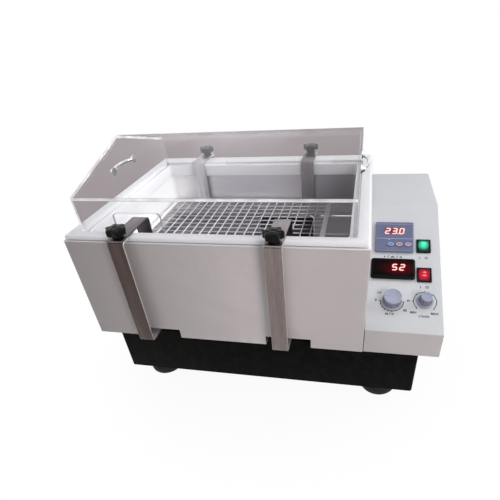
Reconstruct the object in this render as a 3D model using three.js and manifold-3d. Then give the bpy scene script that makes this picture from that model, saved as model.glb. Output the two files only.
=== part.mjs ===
// Water bath shaker: a stainless bath under a clear roofed lid, with a wire tray that hangs on
// four straps from a carriage in the black base, and a control box on the right.
// Millimetres, +X to the right, +Y to the back, +Z up, origin on the floor under the middle.
import * as THREE from "three";
import { mergeVertices } from "three/addons/utils/BufferGeometryUtils.js";
import Module from "manifold-3d";

const wasm = await Module();
wasm.setup();

// Outer sizes that the rest follows
const bathLength = 540;
const controlWidth = 132;
const bodyDepth = 460;
const shellHeight = 210;
const baseHeight = 111;
const footHeight = 30;

// Clearances and cutting
const runningGap = 0.3;
const slideGap = 1.5;
const overrun = 5;
const weldTolerance = 0.0001;

// Sheet thicknesses
const bodySheet = 2;
const baseSheet = 2;
const basePlateSheet = 3;
const tankSheet = 1.5;
const strapSheet = 3;
const carriageSheet = 3;
const deckSheet = 3;
const lidSheet = 5;

// Facets on round pieces
const wheelSides = 28;
const knobSides = 20;
const smallSides = 12;
const tubeSides = 6;
const wireSides = 6;
const cornerSteps = 2;

// Black base and its feet
const baseInsetSide = 30;
const baseInsetDepth = 18;
const baseFlange = 16;
const baseCorner = 6;
const ventLength = 60;
const ventHeight = 4;
const ventPitch = 10;
const ventCount = 6;
const footRadius = 36;
const footSeatRadius = 30;
const footRound = 9;
const footInsetSide = 65;
const footInsetDepth = 40;

// Body shell
const shellCorner = 2.5;
const shellSeat = 14;
const notchWidth = 86;
const notchHeight = 20;
const notchLead = 7;
const notchShortfall = 10;

// Control box
const lipHeight = 52;
const creaseHeight = 174;
const creaseDepth = 266;
const controlBend = 4;
const controlSeam = 0.8;
const rearVentLength = 70;
const rearVentHeight = 4;
const rearVentPitch = 10;
const rearVentCount = 7;

// White collar round the bath
const rimHeight = 10.5;
const rimInset = 2;
const rimRound = 4;
const rimCorner = 5;
const rimMarginSide = 35;
const rimMarginFront = 32;
const rimMarginBack = 50;
const rimOpeningCorner = 10;
const rimLip = 3;
const rimLipDrop = 32;
const ledgeDrop = 6;
const ledgeCorner = 3;

// Stainless bath
const tankLipGap = 1;
const tankDepth = 150;
const tankCorner = 14;
const tankFlangeInset = 8;
const tankClearance = 3;

// Heater and temperature probe in the bath
const heaterRadius = 4.5;
const heaterHeight = 26;
const heaterBend = 48;
const heaterReach = 360;
const heaterStuds = 12;
const heaterSteps = 40;
const drainSteps = 12;
const probeRadius = 3;
const probeReach = 80;
const probeHeight = 44;
const probeShift = 110;
const fittingRadius = 8;
const fittingHeight = 5;

// Drain pipe and tap
const drainRadius = 6;
const drainBore = 4;
const drainFromLeft = 66;
const drainFromBack = 68;
const drainDrop = 130;
const drainBend = 24;
const drainCollar = 3;
const drainCollarRadius = 12;
const strainerBar = 2;
const strainerHeight = 3;
const tapFlangeRadius = 15;
const tapFlange = 3;
const tapBodyRadius = 9;
const tapReach = 24;
const tapSpoutRadius = 6;
const tapSpoutDrop = 24;
const leverLength = 25;
const leverWidth = 8;
const leverThickness = 3;
const leverHubHeight = 5;

// Clear lid
const lidMarginLeft = 28;
const lidMarginRight = 24;
const lidMarginFront = 24;
const lidMarginBack = 44;
const lidWallHeight = 67.5;
const lidRise = 54;
const lidNotchWidth = 88;
const lidNotchHeight = 39;
const lidNotchLead = 4;
const lidNotchCorner = 6;
const handleSpan = 88;
const handleCrest = 38;
const handleStandoff = 14;
const handleRadius = 4;
const handleBend = 16;
const handleSteps = 18;
const handleHeight = 62.5;
const handleFlangeRadius = 8;
const handleFlange = 2;

// Shaking carriage: straps outside the shell, hangers inside the bath
const strapWidth = 30;
const strapStandoff = 22;
const strapBend = 5;
const strapFromLeft = 103;
const strapPitch = 272;
const strapTopGap = 1.5;
const strapFlangeReach = 21.5;
const strapFootReach = 70;
const strapFootRise = 4;
const hangerReachFront = 82;
const hangerReachBack = 59;
const trayDrop = 89;
const hookReach = 16;
const stroke = 28;

// Wire tray
const trayFromLeft = 40;
const trayLength = 410;
const trayFrameWidth = 11;
const trayFrameSheet = 3;
const trayFrameDrop = 1.5;
const trayWire = 3;
const trayWireGap = 0.2;
const trayLongWires = 18;
const trayCrossWires = 13;
const trayEndGap = 4;

// Star knobs that clamp the hangers to the straps
const clampRadius = 18;
const clampLobes = 6;
const clampLobeDepth = 2.6;
const clampLobeSteps = 4;
const clampHeight = 13;
const clampCollar = 6;
const clampCollarRadius = 10;
const clampRound = 2;
const studRadius = 4;
const studDrop = 16;
const clampFromFaceFront = 15;
const clampFromFaceBack = 10;

// Carriage frame, bearings and guide rods
const carriageFloorGap = 1;
const carriageOverhang = 12;
const carriageFromFront = 42;
const carriageSpine = 60;
const rodRadius = 6;
const rodFromFront = 110;
const rodOverhang = 6;
const bearingLength = 36;
const bearingWidth = 30;
const bearingHeight = 26;

// Drive frame in the base
const deckDrop = 45;
const deckFromSide = 58;
const deckFromFront = 90;
const deckBend = 6;
const bearingBossRadius = 20;
const bearingBossDrop = 14;

// Crank, connecting rod, motor and belt
const postFromLeft = 200;
const conRodLength = 110;
const conRodWidth = 16;
const conRodThickness = 6;
const conRodEye = 13;
const conRodDrop = 19;
const postRadius = 6;
const postShoulderRadius = 10;
const postCollar = 2;
const crankRadius = stroke / 2;
const crankWheelRadius = 55;
const crankWheelHeight = 12;
const crankShaftRadius = 8;
const pulleyRadius = 17;
const pulleyFlange = 2;
const grooveDepth = 3;
const beltThickness = 2;
const motorShaftRadius = 5;
const motorShaftDrop = 18;
const motorDistance = 128;
const motorRadius = 38;
const motorHeight = 50;
const motorFlange = 4;
const motorNeck = 33;
const crankPinRadius = 5;
const crankPinReach = 2.6;
const crankPinGap = 0.4;
const beltSteps = 12;

// Instruments on the sloping face, placed from the join with the bath and up the slope
const controllerSize = 72;
const controllerAt = { across: 48, up: 206 };
const controllerBezel = 6;
const controllerBody = 66;
const controllerDepth = 60;
const controllerCorner = 3;
const controllerRound = 1.5;
const windowWidth = 52;
const windowHeight = 26;
const windowRise = 14;
const windowDepth = 1;
const keyWidth = 13;
const keyHeight = 9.5;
const keyPitch = 16.3;
const keyRise = -20.5;
const keyPocket = 4;
const keyProud = 1.6;
const keyTravel = 1;
const keyShift = 8.8;
const ovalSteps = 8;
const meterWidth = 80;
const meterHeight = 45;
const meterAt = { across: 46, up: 131 };
const meterBezel = 6;
const meterBodyWidth = 74;
const meterBodyHeight = 39;
const meterDepth = 48;
const meterCorner = 5;
const meterRound = 2;
const meterWindowWidth = 58;
const meterWindowHeight = 24;
const switchWidth = 26;
const switchHeight = 31;
const switchAcross = 102;
const powerUp = 187;
const shakeUp = 121;
const switchBezel = 2.2;
const switchWall = 3;
const switchDepth = 24;
const switchBodyInset = 1.5;
const switchPocket = 10;
const rockerTilt = THREE.MathUtils.degToRad(7);
const rockerTop = 3.5;
const rockerEdge = 1;
const rockerKeel = 5;
const rockerPivotDrop = 2;
const timerAt = { across: 45.5, up: 62 };
const timerSkirtRadius = 19;
const timerCapRadius = 15.5;
const timerHeight = 19;
const speedAt = { across: 102.5, up: 65 };
const speedSkirtRadius = 14.5;
const speedCapRadius = 9.5;
const speedHeight = 18;
const knobShaftRadius = 3;
const knobShaftDrop = 14;
const knobSkirt = 3;
const knobSeat = 0.5;
const knobTaper = 1.5;
const knobRound = 1;
const fluteCount = 12;
const fluteDepth = 0.8;
const fluteSteps = 3;

// Cable gland on the back of the control box
const glandRadius = 11;
const glandBodyRadius = 8;
const glandBore = 4;
const glandReach = 18;
const glandNut = 6;
const glandFromRight = 40;
const glandRise = 40;

// Planes worked out from the sizes above
const leftEnd = -(bathLength + controlWidth) / 2;
const rightEnd = -leftEnd;
const join = leftEnd + bathLength;
const frontFace = -bodyDepth / 2;
const backFace = -frontFace;
const basePlateTop = footHeight + basePlateSheet;
const shellBottom = footHeight + baseHeight;
const shellTop = shellBottom + shellHeight;
const rimBottom = shellTop + tankSheet;
const rimTop = shellTop + rimHeight;
const ledge = rimTop - ledgeDrop;
const armBottom = rimTop + strapTopGap;
const slopeAngle = Math.atan2(creaseHeight - lipHeight, creaseDepth);

// Finishes
const finish = {
  creamPaint: { color: 0xcfcdcc, roughness: 0.55, metalness: 0 },
  blackPaint: { color: 0x0f0f0f, roughness: 0.5, metalness: 0 },
  whitePlastic: { color: 0xeceaf0, roughness: 0.35, metalness: 0 },
  stainless: { color: 0xa8a3a0, roughness: 0.3, metalness: 1 },
  wire: { color: 0xc9c6c8, roughness: 0.25, metalness: 1 },
  steel: { color: 0x8b8b8e, roughness: 0.4, metalness: 1 },
  chrome: { color: 0xd8d8dc, roughness: 0.08, metalness: 1 },
  brass: { color: 0xb08d4a, roughness: 0.3, metalness: 1 },
  clear: { color: 0xffffff, roughness: 0.03, metalness: 0, transparent: true, opacity: 0.25 },
  rubber: { color: 0x161616, roughness: 0.9, metalness: 0 },
  blackPlastic: { color: 0x111112, roughness: 0.3, metalness: 0 },
  slatePlastic: { color: 0x6a718b, roughness: 0.4, metalness: 0 },
  silverPlastic: { color: 0xa5b0c4, roughness: 0.35, metalness: 0.4 },
  blueKey: { color: 0x6fa0c8, roughness: 0.45, metalness: 0 },
  pinkKey: { color: 0xc79aa6, roughness: 0.45, metalness: 0 },
  greenLamp: { color: 0x54f4c8, roughness: 0.25, metalness: 0 },
  redLamp: { color: 0xe0322c, roughness: 0.25, metalness: 0 },
};
const materials = Object.fromEntries(
  Object.entries(finish).map(([name, values]) => [name, new THREE.MeshStandardMaterial(values)]),
);

// Axes that turn a flat outline to face along X or along Y
const facingX = new THREE.Matrix4().makeBasis(
  new THREE.Vector3(0, 1, 0),
  new THREE.Vector3(0, 0, 1),
  new THREE.Vector3(1, 0, 0),
);
const facingY = new THREE.Matrix4().makeBasis(
  new THREE.Vector3(1, 0, 0),
  new THREE.Vector3(0, 0, 1),
  new THREE.Vector3(0, -1, 0),
);

// A closed geometry as a solid that can be joined and cut
function solid(geometry) {
  const bare = geometry.clone();
  bare.deleteAttribute("normal");
  bare.deleteAttribute("uv");
  const merged = mergeVertices(bare, weldTolerance);
  return new wasm.Manifold(
    new wasm.Mesh({
      numProp: 3,
      vertProperties: new Float32Array(merged.attributes.position.array),
      triVerts: new Uint32Array(merged.index.array),
    }),
  );
}

// A solid back as a geometry with flat faces
function surface(made) {
  const mesh = made.getMesh();
  const geometry = new THREE.BufferGeometry();
  geometry.setAttribute("position", new THREE.BufferAttribute(new Float32Array(mesh.vertProperties), 3));
  geometry.setIndex(new THREE.BufferAttribute(new Uint32Array(mesh.triVerts), 1));
  const flat = geometry.toNonIndexed();
  flat.computeVertexNormals();
  return flat;
}

function cut(geometry, ...tools) {
  return surface(tools.reduce((left, tool) => left.subtract(solid(tool)), solid(geometry)));
}

function joined(...pieces) {
  return surface(pieces.map(solid).reduce((sum, piece) => sum.add(piece)));
}

// A block between two values on each axis
function block([x0, x1], [y0, y1], [z0, z1]) {
  const geometry = new THREE.BoxGeometry(x1 - x0, y1 - y0, z1 - z0);
  return geometry.translate((x0 + x1) / 2, (y0 + y1) / 2, (z0 + z1) / 2);
}

// A span that is smaller by a margin at both ends, or by one margin at each
function inside([low, high], margin, highMargin = margin) {
  return [low + margin, high - highMargin];
}

// A span about its middle, and a span from its low end
function about(middle, size) {
  return [middle - size / 2, middle + size / 2];
}

function from(low, size) {
  return [low, low + size];
}

// An outline of a rectangle with round corners
function roundedOutline([x0, x1], [y0, y1], radius) {
  const outline = new THREE.Shape();
  outline.moveTo(x0 + radius, y0);
  outline.absarc(x1 - radius, y0 + radius, radius, -Math.PI / 2, 0, false);
  outline.absarc(x1 - radius, y1 - radius, radius, 0, Math.PI / 2, false);
  outline.absarc(x0 + radius, y1 - radius, radius, Math.PI / 2, Math.PI, false);
  outline.absarc(x0 + radius, y0 + radius, radius, Math.PI, Math.PI * 1.5, false);
  return outline;
}

// An upright block with round corners
function roundedBlock(xs, ys, [z0, z1], radius) {
  const settings = { depth: z1 - z0, bevelEnabled: false, curveSegments: cornerSteps };
  return new THREE.ExtrudeGeometry(roundedOutline(xs, ys, radius), settings).translate(0, 0, z0);
}

// The same with its long edges rounded above and below
function softBlock(xs, ys, [z0, z1], radius, round) {
  const settings = {
    depth: z1 - z0 - 2 * round,
    bevelEnabled: true,
    bevelThickness: round,
    bevelSize: round,
    bevelOffset: -round,
    bevelSegments: cornerSteps,
    curveSegments: cornerSteps,
  };
  return new THREE.ExtrudeGeometry(roundedOutline(xs, ys, radius), settings).translate(0, 0, z0 + round);
}

// An outline across Y and Z drawn out along X
function alongX(outline, [x0, x1]) {
  const settings = { depth: x1 - x0, bevelEnabled: false, curveSegments: cornerSteps };
  return new THREE.ExtrudeGeometry(outline, settings).applyMatrix4(facingX).translate(x0, 0, 0);
}

// An outline across X and Z drawn out along Y
function alongY(outline, [y0, y1]) {
  const settings = { depth: y1 - y0, bevelEnabled: false, curveSegments: cornerSteps };
  return new THREE.ExtrudeGeometry(outline, settings).applyMatrix4(facingY).translate(0, y1, 0);
}

// An upright cylinder between two heights
function post(radius, [z0, z1], sides = smallSides) {
  const geometry = new THREE.CylinderGeometry(radius, radius, z1 - z0, sides);
  return geometry.rotateX(Math.PI / 2).translate(0, 0, (z0 + z1) / 2);
}

// A turned piece about the upright axis, from its outline of radius and height
function turned(points, sides) {
  const profile = points.map(([radius, height]) => new THREE.Vector2(radius, height));
  return new THREE.LatheGeometry(profile, sides).rotateX(Math.PI / 2);
}

// A closed outline through corner points, each corner rounded by the bend given
function bentOutline(corners, bend) {
  const points = corners.map(([across, up]) => new THREE.Vector2(across, up));
  const outline = new THREE.Shape();
  points.forEach((corner, i) => {
    const before = points[(i + points.length - 1) % points.length];
    const after = points[(i + 1) % points.length];
    const start = corner.clone().add(before.clone().sub(corner).setLength(bend));
    const end = corner.clone().add(after.clone().sub(corner).setLength(bend));
    if (i === 0) outline.moveTo(start.x, start.y);
    else outline.lineTo(start.x, start.y);
    outline.quadraticCurveTo(corner.x, corner.y, end.x, end.y);
  });
  return outline;
}

// The outline of a bent strip of sheet, from its middle line and its bend radius
function stripOutline(route, sheet, bend) {
  const points = route.map(([across, up]) => new THREE.Vector2(across, up));
  const near = [];
  const far = [];
  const half = sheet / 2;
  const side = (direction) => new THREE.Vector2(-direction.y, direction.x);
  points.forEach((point, i) => {
    const into = i > 0 ? point.clone().sub(points[i - 1]).normalize() : null;
    const out = i < points.length - 1 ? points[i + 1].clone().sub(point).normalize() : null;
    if (!into || !out) {
      const normal = side(into ?? out);
      near.push(point.clone().addScaledVector(normal, half));
      far.push(point.clone().addScaledVector(normal, -half));
      return;
    }
    const turn = Math.sign(into.cross(out));
    const angle = Math.acos(THREE.MathUtils.clamp(into.dot(out), -1, 1));
    const setback = bend * Math.tan(angle / 2);
    const centre = point.clone().addScaledVector(into, -setback).addScaledVector(side(into), turn * bend);
    for (let step = 0; step <= cornerSteps; step += 1) {
      const swing = (turn * angle * step) / cornerSteps;
      const spoke = side(into).multiplyScalar(-turn).rotateAround(new THREE.Vector2(), swing);
      near.push(centre.clone().addScaledVector(spoke, bend - turn * half));
      far.push(centre.clone().addScaledVector(spoke, bend + turn * half));
    }
  });
  return new THREE.Shape([...near, ...far.reverse()]);
}

// A round tube along straight runs joined by bends
function bentTube(corners, radius, bend, steps, sides = tubeSides) {
  const points = corners.map((corner) => new THREE.Vector3(...corner));
  const path = new THREE.CurvePath();
  let from = points[0];
  points.slice(1, -1).forEach((corner, i) => {
    const start = corner.clone().add(points[i].clone().sub(corner).setLength(bend));
    const end = corner.clone().add(points[i + 2].clone().sub(corner).setLength(bend));
    path.add(new THREE.LineCurve3(from, start));
    path.add(new THREE.QuadraticBezierCurve3(start, corner, end));
    from = end;
  });
  path.add(new THREE.LineCurve3(from, points[points.length - 1]));
  const section = new THREE.Shape(
    Array.from({ length: sides }, (_, i) => {
      const angle = (2 * Math.PI * i) / sides;
      return new THREE.Vector2(Math.cos(angle), Math.sin(angle)).multiplyScalar(radius);
    }),
  );
  return new THREE.ExtrudeGeometry(section, { steps, bevelEnabled: false, extrudePath: path });
}

const shaker = new THREE.Group();

// Adds one named piece, to the whole instrument or to a group that places it
function add(name, geometry, material, parent = shaker) {
  const piece = new THREE.Mesh(geometry, material);
  piece.name = name;
  parent.add(piece);
  return piece;
}

function groupAt(x, y, z, parent = shaker) {
  const group = new THREE.Group();
  group.position.set(x, y, z);
  parent.add(group);
  return group;
}

// Spans of the main bodies
const bathX = [leftEnd, join];
const bodyY = [frontFace, backFace];
const baseX = inside([leftEnd, rightEnd], baseInsetSide);
const baseY = inside(bodyY, baseInsetDepth);
const rimOpeningX = inside(bathX, rimMarginSide);
const rimOpeningY = inside(bodyY, rimMarginFront, rimMarginBack);
const lidX = [bathX[0] + lidMarginLeft, bathX[1] - lidMarginRight];
const lidY = inside(bodyY, lidMarginFront, lidMarginBack);
const tankX = inside(rimOpeningX, -(rimLip + tankLipGap));
const tankY = inside(rimOpeningY, -(rimLip + tankLipGap));
const tankFloor = rimTop - tankDepth;

// Base: a black housing on a plate and four rubber feet
function addBase() {
  const drainX = leftEnd + drainFromLeft;
  const tapZ = tankFloor - drainDrop;
  const housing = roundedBlock(baseX, baseY, [basePlateTop, shellBottom], baseCorner);
  const cavity = block(
    inside(baseX, baseSheet),
    inside(baseY, baseSheet),
    [basePlateTop - overrun, shellBottom - baseSheet],
  );
  const mouth = block(
    inside(baseX, baseFlange),
    inside(baseY, baseFlange),
    from(shellBottom - overrun, 2 * overrun),
  );
  const drainHole = post(drainRadius + runningGap, [-overrun, overrun])
    .rotateX(Math.PI / 2)
    .translate(drainX, baseY[1], tapZ);
  const ventBottom = (basePlateTop + shellBottom - ventPitch * (ventCount - 1)) / 2;
  const vents = Array.from({ length: ventCount }, (_, i) =>
    block(inside(baseX, -overrun), about(0, ventLength), about(ventBottom + i * ventPitch, ventHeight)),
  );
  add("base_housing", cut(housing, cavity, mouth, drainHole, ...vents), materials.blackPaint);
  add("base_plate", roundedBlock(baseX, baseY, [footHeight, basePlateTop], baseCorner), materials.blackPaint);

  const arcSteps = 3;
  const round = Array.from({ length: arcSteps + 1 }, (_, i) => {
    const angle = (Math.PI / 2) * (i / arcSteps - 1);
    return [footRadius - footRound + footRound * Math.cos(angle), footRound + footRound * Math.sin(angle)];
  });
  const foot = turned([[0, 0], ...round, [footSeatRadius, footHeight], [0, footHeight]], knobSides);
  const footXs = { left: baseX[0] + footInsetSide, right: baseX[1] - footInsetSide };
  const footYs = { front: baseY[0] + footInsetDepth, rear: baseY[1] - footInsetDepth };
  for (const [end, y] of Object.entries(footYs)) {
    for (const [side, x] of Object.entries(footXs)) {
      add(`foot_${end}_${side}`, foot.clone(), materials.rubber, groupAt(x, y, 0));
    }
  }
}

// Left edges of the straps, and of the notches that leave them room to shake
const strapLefts = [leftEnd + strapFromLeft, leftEnd + strapFromLeft + strapPitch];
const notchLefts = [strapLefts[0] - notchLead, strapLefts[1] - notchLead - notchShortfall];
const lidNotchLefts = [strapLefts[0] - lidNotchLead, strapLefts[1] - lidNotchLead - notchShortfall];
const endNames = ["left", "right"];

// Painted shell round the bath, with notches in its lower edge for the straps
function addShell() {
  const bodyZ = [shellBottom, shellTop];
  const casing = roundedBlock(bathX, bodyY, bodyZ, shellCorner);
  const hollow = block(inside(bathX, bodySheet), inside(bodyY, bodySheet), inside(bodyZ, bodySheet));
  const floorMouth = block(
    inside(bathX, baseInsetSide + shellSeat),
    inside(bodyY, baseInsetDepth + shellSeat),
    from(shellBottom - overrun, 2 * overrun),
  );
  const topMouth = block(
    inside(tankX, -tankClearance),
    inside(tankY, -tankClearance),
    from(shellTop - overrun, 2 * overrun),
  );
  const notchZ = [shellBottom - overrun, shellBottom + notchHeight];
  const notchDepth = baseInsetDepth + shellSeat + 2 * overrun;
  const notches = notchLefts.flatMap((x) => [
    block(from(x, notchWidth), from(frontFace - overrun, notchDepth), notchZ),
    block(from(x, notchWidth), from(backFace + overrun - notchDepth, notchDepth), notchZ),
  ]);
  add("body_shell", cut(casing, hollow, floorMouth, topMouth, ...notches), materials.creamPaint);
}

// Corners of a closed outline moved inwards by a sheet's thickness
function shrunk(corners, sheet) {
  const points = corners.map(([across, up]) => new THREE.Vector2(across, up));
  const inward = THREE.ShapeUtils.isClockWise(points) ? -1 : 1;
  const side = (direction) => new THREE.Vector2(-direction.y, direction.x).multiplyScalar(inward);
  return points.map((corner, i) => {
    const into = corner.clone().sub(points.at(i - 1)).normalize();
    const out = points[(i + 1) % points.length].clone().sub(corner).normalize();
    const first = side(into);
    const second = side(out);
    const reach = sheet / (1 + first.dot(second));
    const moved = corner.clone().addScaledVector(first.add(second), reach);
    return [moved.x, moved.y];
  });
}

// Places a piece that is drawn on the sloping face: across, up the slope, and out of it
const slopeFrame = new THREE.Matrix4()
  .makeRotationX(slopeAngle)
  .setPosition(join, frontFace, shellBottom + lipHeight);

function onSlope(geometry) {
  return geometry.applyMatrix4(slopeFrame);
}

// Control box: a folded cover with cut-outs for the instruments
function addControlBox() {
  const corners = [
    [frontFace, shellBottom],
    [frontFace, shellBottom + lipHeight],
    [frontFace + creaseDepth, shellBottom + creaseHeight],
    [backFace, shellBottom + creaseHeight],
    [backFace, shellBottom],
  ];
  const cover = alongX(bentOutline(corners, controlBend), [join + controlSeam, rightEnd]);
  const hollow = alongX(
    bentOutline(shrunk(corners, bodySheet), controlBend - bodySheet),
    [join - overrun, rightEnd - bodySheet],
  );
  const mouth = block(
    [join - overrun, rightEnd - baseInsetSide - shellSeat],
    inside(bodyY, baseInsetDepth + shellSeat),
    from(shellBottom - overrun, 2 * overrun),
  );
  const through = [-2 * overrun, overrun];
  const window = ({ across, up }, width, height) =>
    onSlope(block(about(across, width + 2 * runningGap), about(up, height + 2 * runningGap), through));
  const bore = ({ across, up }) =>
    onSlope(post(knobShaftRadius + runningGap, through).translate(across, up, 0));
  const switchBody = [switchWidth - 2 * switchBodyInset, switchHeight - 2 * switchBodyInset];
  const ventBottom = shellBottom + creaseHeight - rearVentPitch * (rearVentCount + 1);
  const vents = Array.from({ length: rearVentCount }, (_, i) =>
    block(
      about((join + rightEnd) / 2, rearVentLength),
      from(backFace - overrun, 2 * overrun),
      from(ventBottom + i * rearVentPitch, rearVentHeight),
    ),
  );
  const glandHole = post(glandBodyRadius + runningGap, [-overrun, overrun])
    .rotateX(Math.PI / 2)
    .translate(rightEnd - glandFromRight, backFace, shellBottom + glandRise);
  const cutCover = cut(
    cover,
    hollow,
    mouth,
    window(controllerAt, controllerBody, controllerBody),
    window(meterAt, meterBodyWidth, meterBodyHeight),
    window({ across: switchAcross, up: powerUp }, ...switchBody),
    window({ across: switchAcross, up: shakeUp }, ...switchBody),
    bore(timerAt),
    bore(speedAt),
    glandHole,
    ...vents,
  );
  add("control_box", cutCover, materials.creamPaint);
}

// White collar: round outside, a ledge that the lid stands on, and a lip down into the bath
function addRim() {
  const collar = softBlock(
    inside(bathX, rimInset),
    inside(bodyY, rimInset),
    [rimBottom, rimTop],
    rimCorner,
    rimRound,
  );
  const rebate = roundedBlock(
    inside(lidX, -slideGap),
    inside(lidY, -slideGap),
    [ledge, rimTop + overrun],
    ledgeCorner,
  );
  const lip = roundedBlock(
    inside(rimOpeningX, -rimLip),
    inside(rimOpeningY, -rimLip),
    [rimTop - rimLipDrop, ledge - rimLip / 2],
    rimOpeningCorner + rimLip,
  );
  const opening = roundedBlock(
    rimOpeningX,
    rimOpeningY,
    [rimTop - rimLipDrop - overrun, rimTop + overrun],
    rimOpeningCorner,
  );
  add("rim", cut(joined(cut(collar, rebate), lip), opening), materials.whitePlastic);
}

// Stainless bath that hangs by its flange, with its heater, probe and drain
function addTank() {
  const outer = roundedBlock(
    inside(tankX, -tankSheet),
    inside(tankY, -tankSheet),
    [tankFloor - tankSheet, rimBottom],
    tankCorner + tankSheet,
  );
  const flange = block(
    inside(bathX, tankFlangeInset),
    inside(bodyY, tankFlangeInset),
    [shellTop, rimBottom],
  );
  const well = roundedBlock(tankX, tankY, [tankFloor, rimBottom + overrun], tankCorner);
  const wallHole = (radius, y, z) =>
    post(radius + runningGap, [-overrun, overrun]).rotateY(Math.PI / 2).translate(tankX[1], y, z);
  const heaterZ = tankFloor + heaterHeight;
  const heaterY = [-heaterBend, heaterBend];
  const probeZ = tankFloor + probeHeight;
  const drainX = leftEnd + drainFromLeft;
  const drainY = backFace - drainFromBack;
  const drainHole = post(drainBore, [tankFloor - overrun, tankFloor + overrun]).translate(drainX, drainY, 0);
  add(
    "bath_tank",
    cut(
      joined(outer, flange),
      well,
      ...heaterY.map((y) => wallHole(heaterRadius, y, heaterZ)),
      wallHole(probeRadius, probeShift, probeZ),
      drainHole,
    ),
    materials.stainless,
  );

  const heater = bentTube(
    [
      [tankX[1] + heaterStuds, heaterY[0], heaterZ],
      [tankX[1] - heaterReach, heaterY[0], heaterZ],
      [tankX[1] - heaterReach, heaterY[1], heaterZ],
      [tankX[1] + heaterStuds, heaterY[1], heaterZ],
    ],
    heaterRadius,
    heaterBend - heaterRadius,
    heaterSteps,
  );
  add("heater_tube", heater, materials.steel);

  const probe = joined(
    post(probeRadius, [-probeReach, heaterStuds]),
    post(fittingRadius, [-fittingHeight, -runningGap]),
  ).rotateY(Math.PI / 2);
  add("temperature_probe", probe, materials.steel, groupAt(tankX[1], probeShift, probeZ));

  const pipeTop = tankFloor - tankSheet;
  const tapZ = tankFloor - drainDrop;
  const wallInside = baseY[1] - baseSheet;
  const route = (overshoot) => [
    [drainX, drainY, pipeTop + overshoot],
    [drainX, drainY, tapZ],
    [drainX, wallInside - runningGap + overshoot, tapZ],
  ];
  const collar = post(drainCollarRadius, [pipeTop - drainCollar, pipeTop]).translate(drainX, drainY, 0);
  const bored = cut(
    joined(bentTube(route(0), drainRadius, drainBend, drainSteps), collar),
    bentTube(route(overrun), drainBore, drainBend, drainSteps),
  );
  const strainerReach = about(0, drainBore + drainRadius);
  const strainerWidth = about(0, strainerBar);
  const strainerZ = [pipeTop - strainerHeight, pipeTop];
  const strainer = joined(
    block(strainerReach, strainerWidth, strainerZ),
    block(strainerWidth, strainerReach, strainerZ),
  ).translate(drainX, drainY, 0);
  add("drain_pipe", joined(bored, strainer), materials.steel);

  const tap = groupAt(drainX, baseY[1], tapZ);
  const barrel = [0, tapReach];
  const body = joined(
    post(drainRadius, [-baseSheet, overrun]).rotateX(-Math.PI / 2),
    post(tapFlangeRadius, [0, tapFlange]).rotateX(-Math.PI / 2),
    post(tapBodyRadius, barrel).rotateX(-Math.PI / 2),
    post(tapSpoutRadius, [-tapSpoutDrop, 0]).translate(0, tapReach - tapBodyRadius, 0),
    post(tapSpoutRadius, [0, tapBodyRadius + tapFlange]).translate(0, tapReach - tapBodyRadius, 0),
  );
  const spoutBore = post(drainBore, [-tapSpoutDrop - overrun, -tapBodyRadius])
    .translate(0, tapReach - tapBodyRadius, 0);
  add("drain_tap", cut(body, spoutBore), materials.brass, tap);
  const leverBase = tapBodyRadius + tapFlange + runningGap;
  const lever = joined(
    post(tapSpoutRadius, from(leverBase, leverHubHeight)),
    block(
      [0, leverLength],
      about(0, leverWidth),
      from(leverBase + leverHubHeight - leverThickness, leverThickness),
    ),
  );
  add("drain_lever", lever, materials.steel, groupAt(0, tapReach - tapBodyRadius, 0, tap));
}

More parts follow.
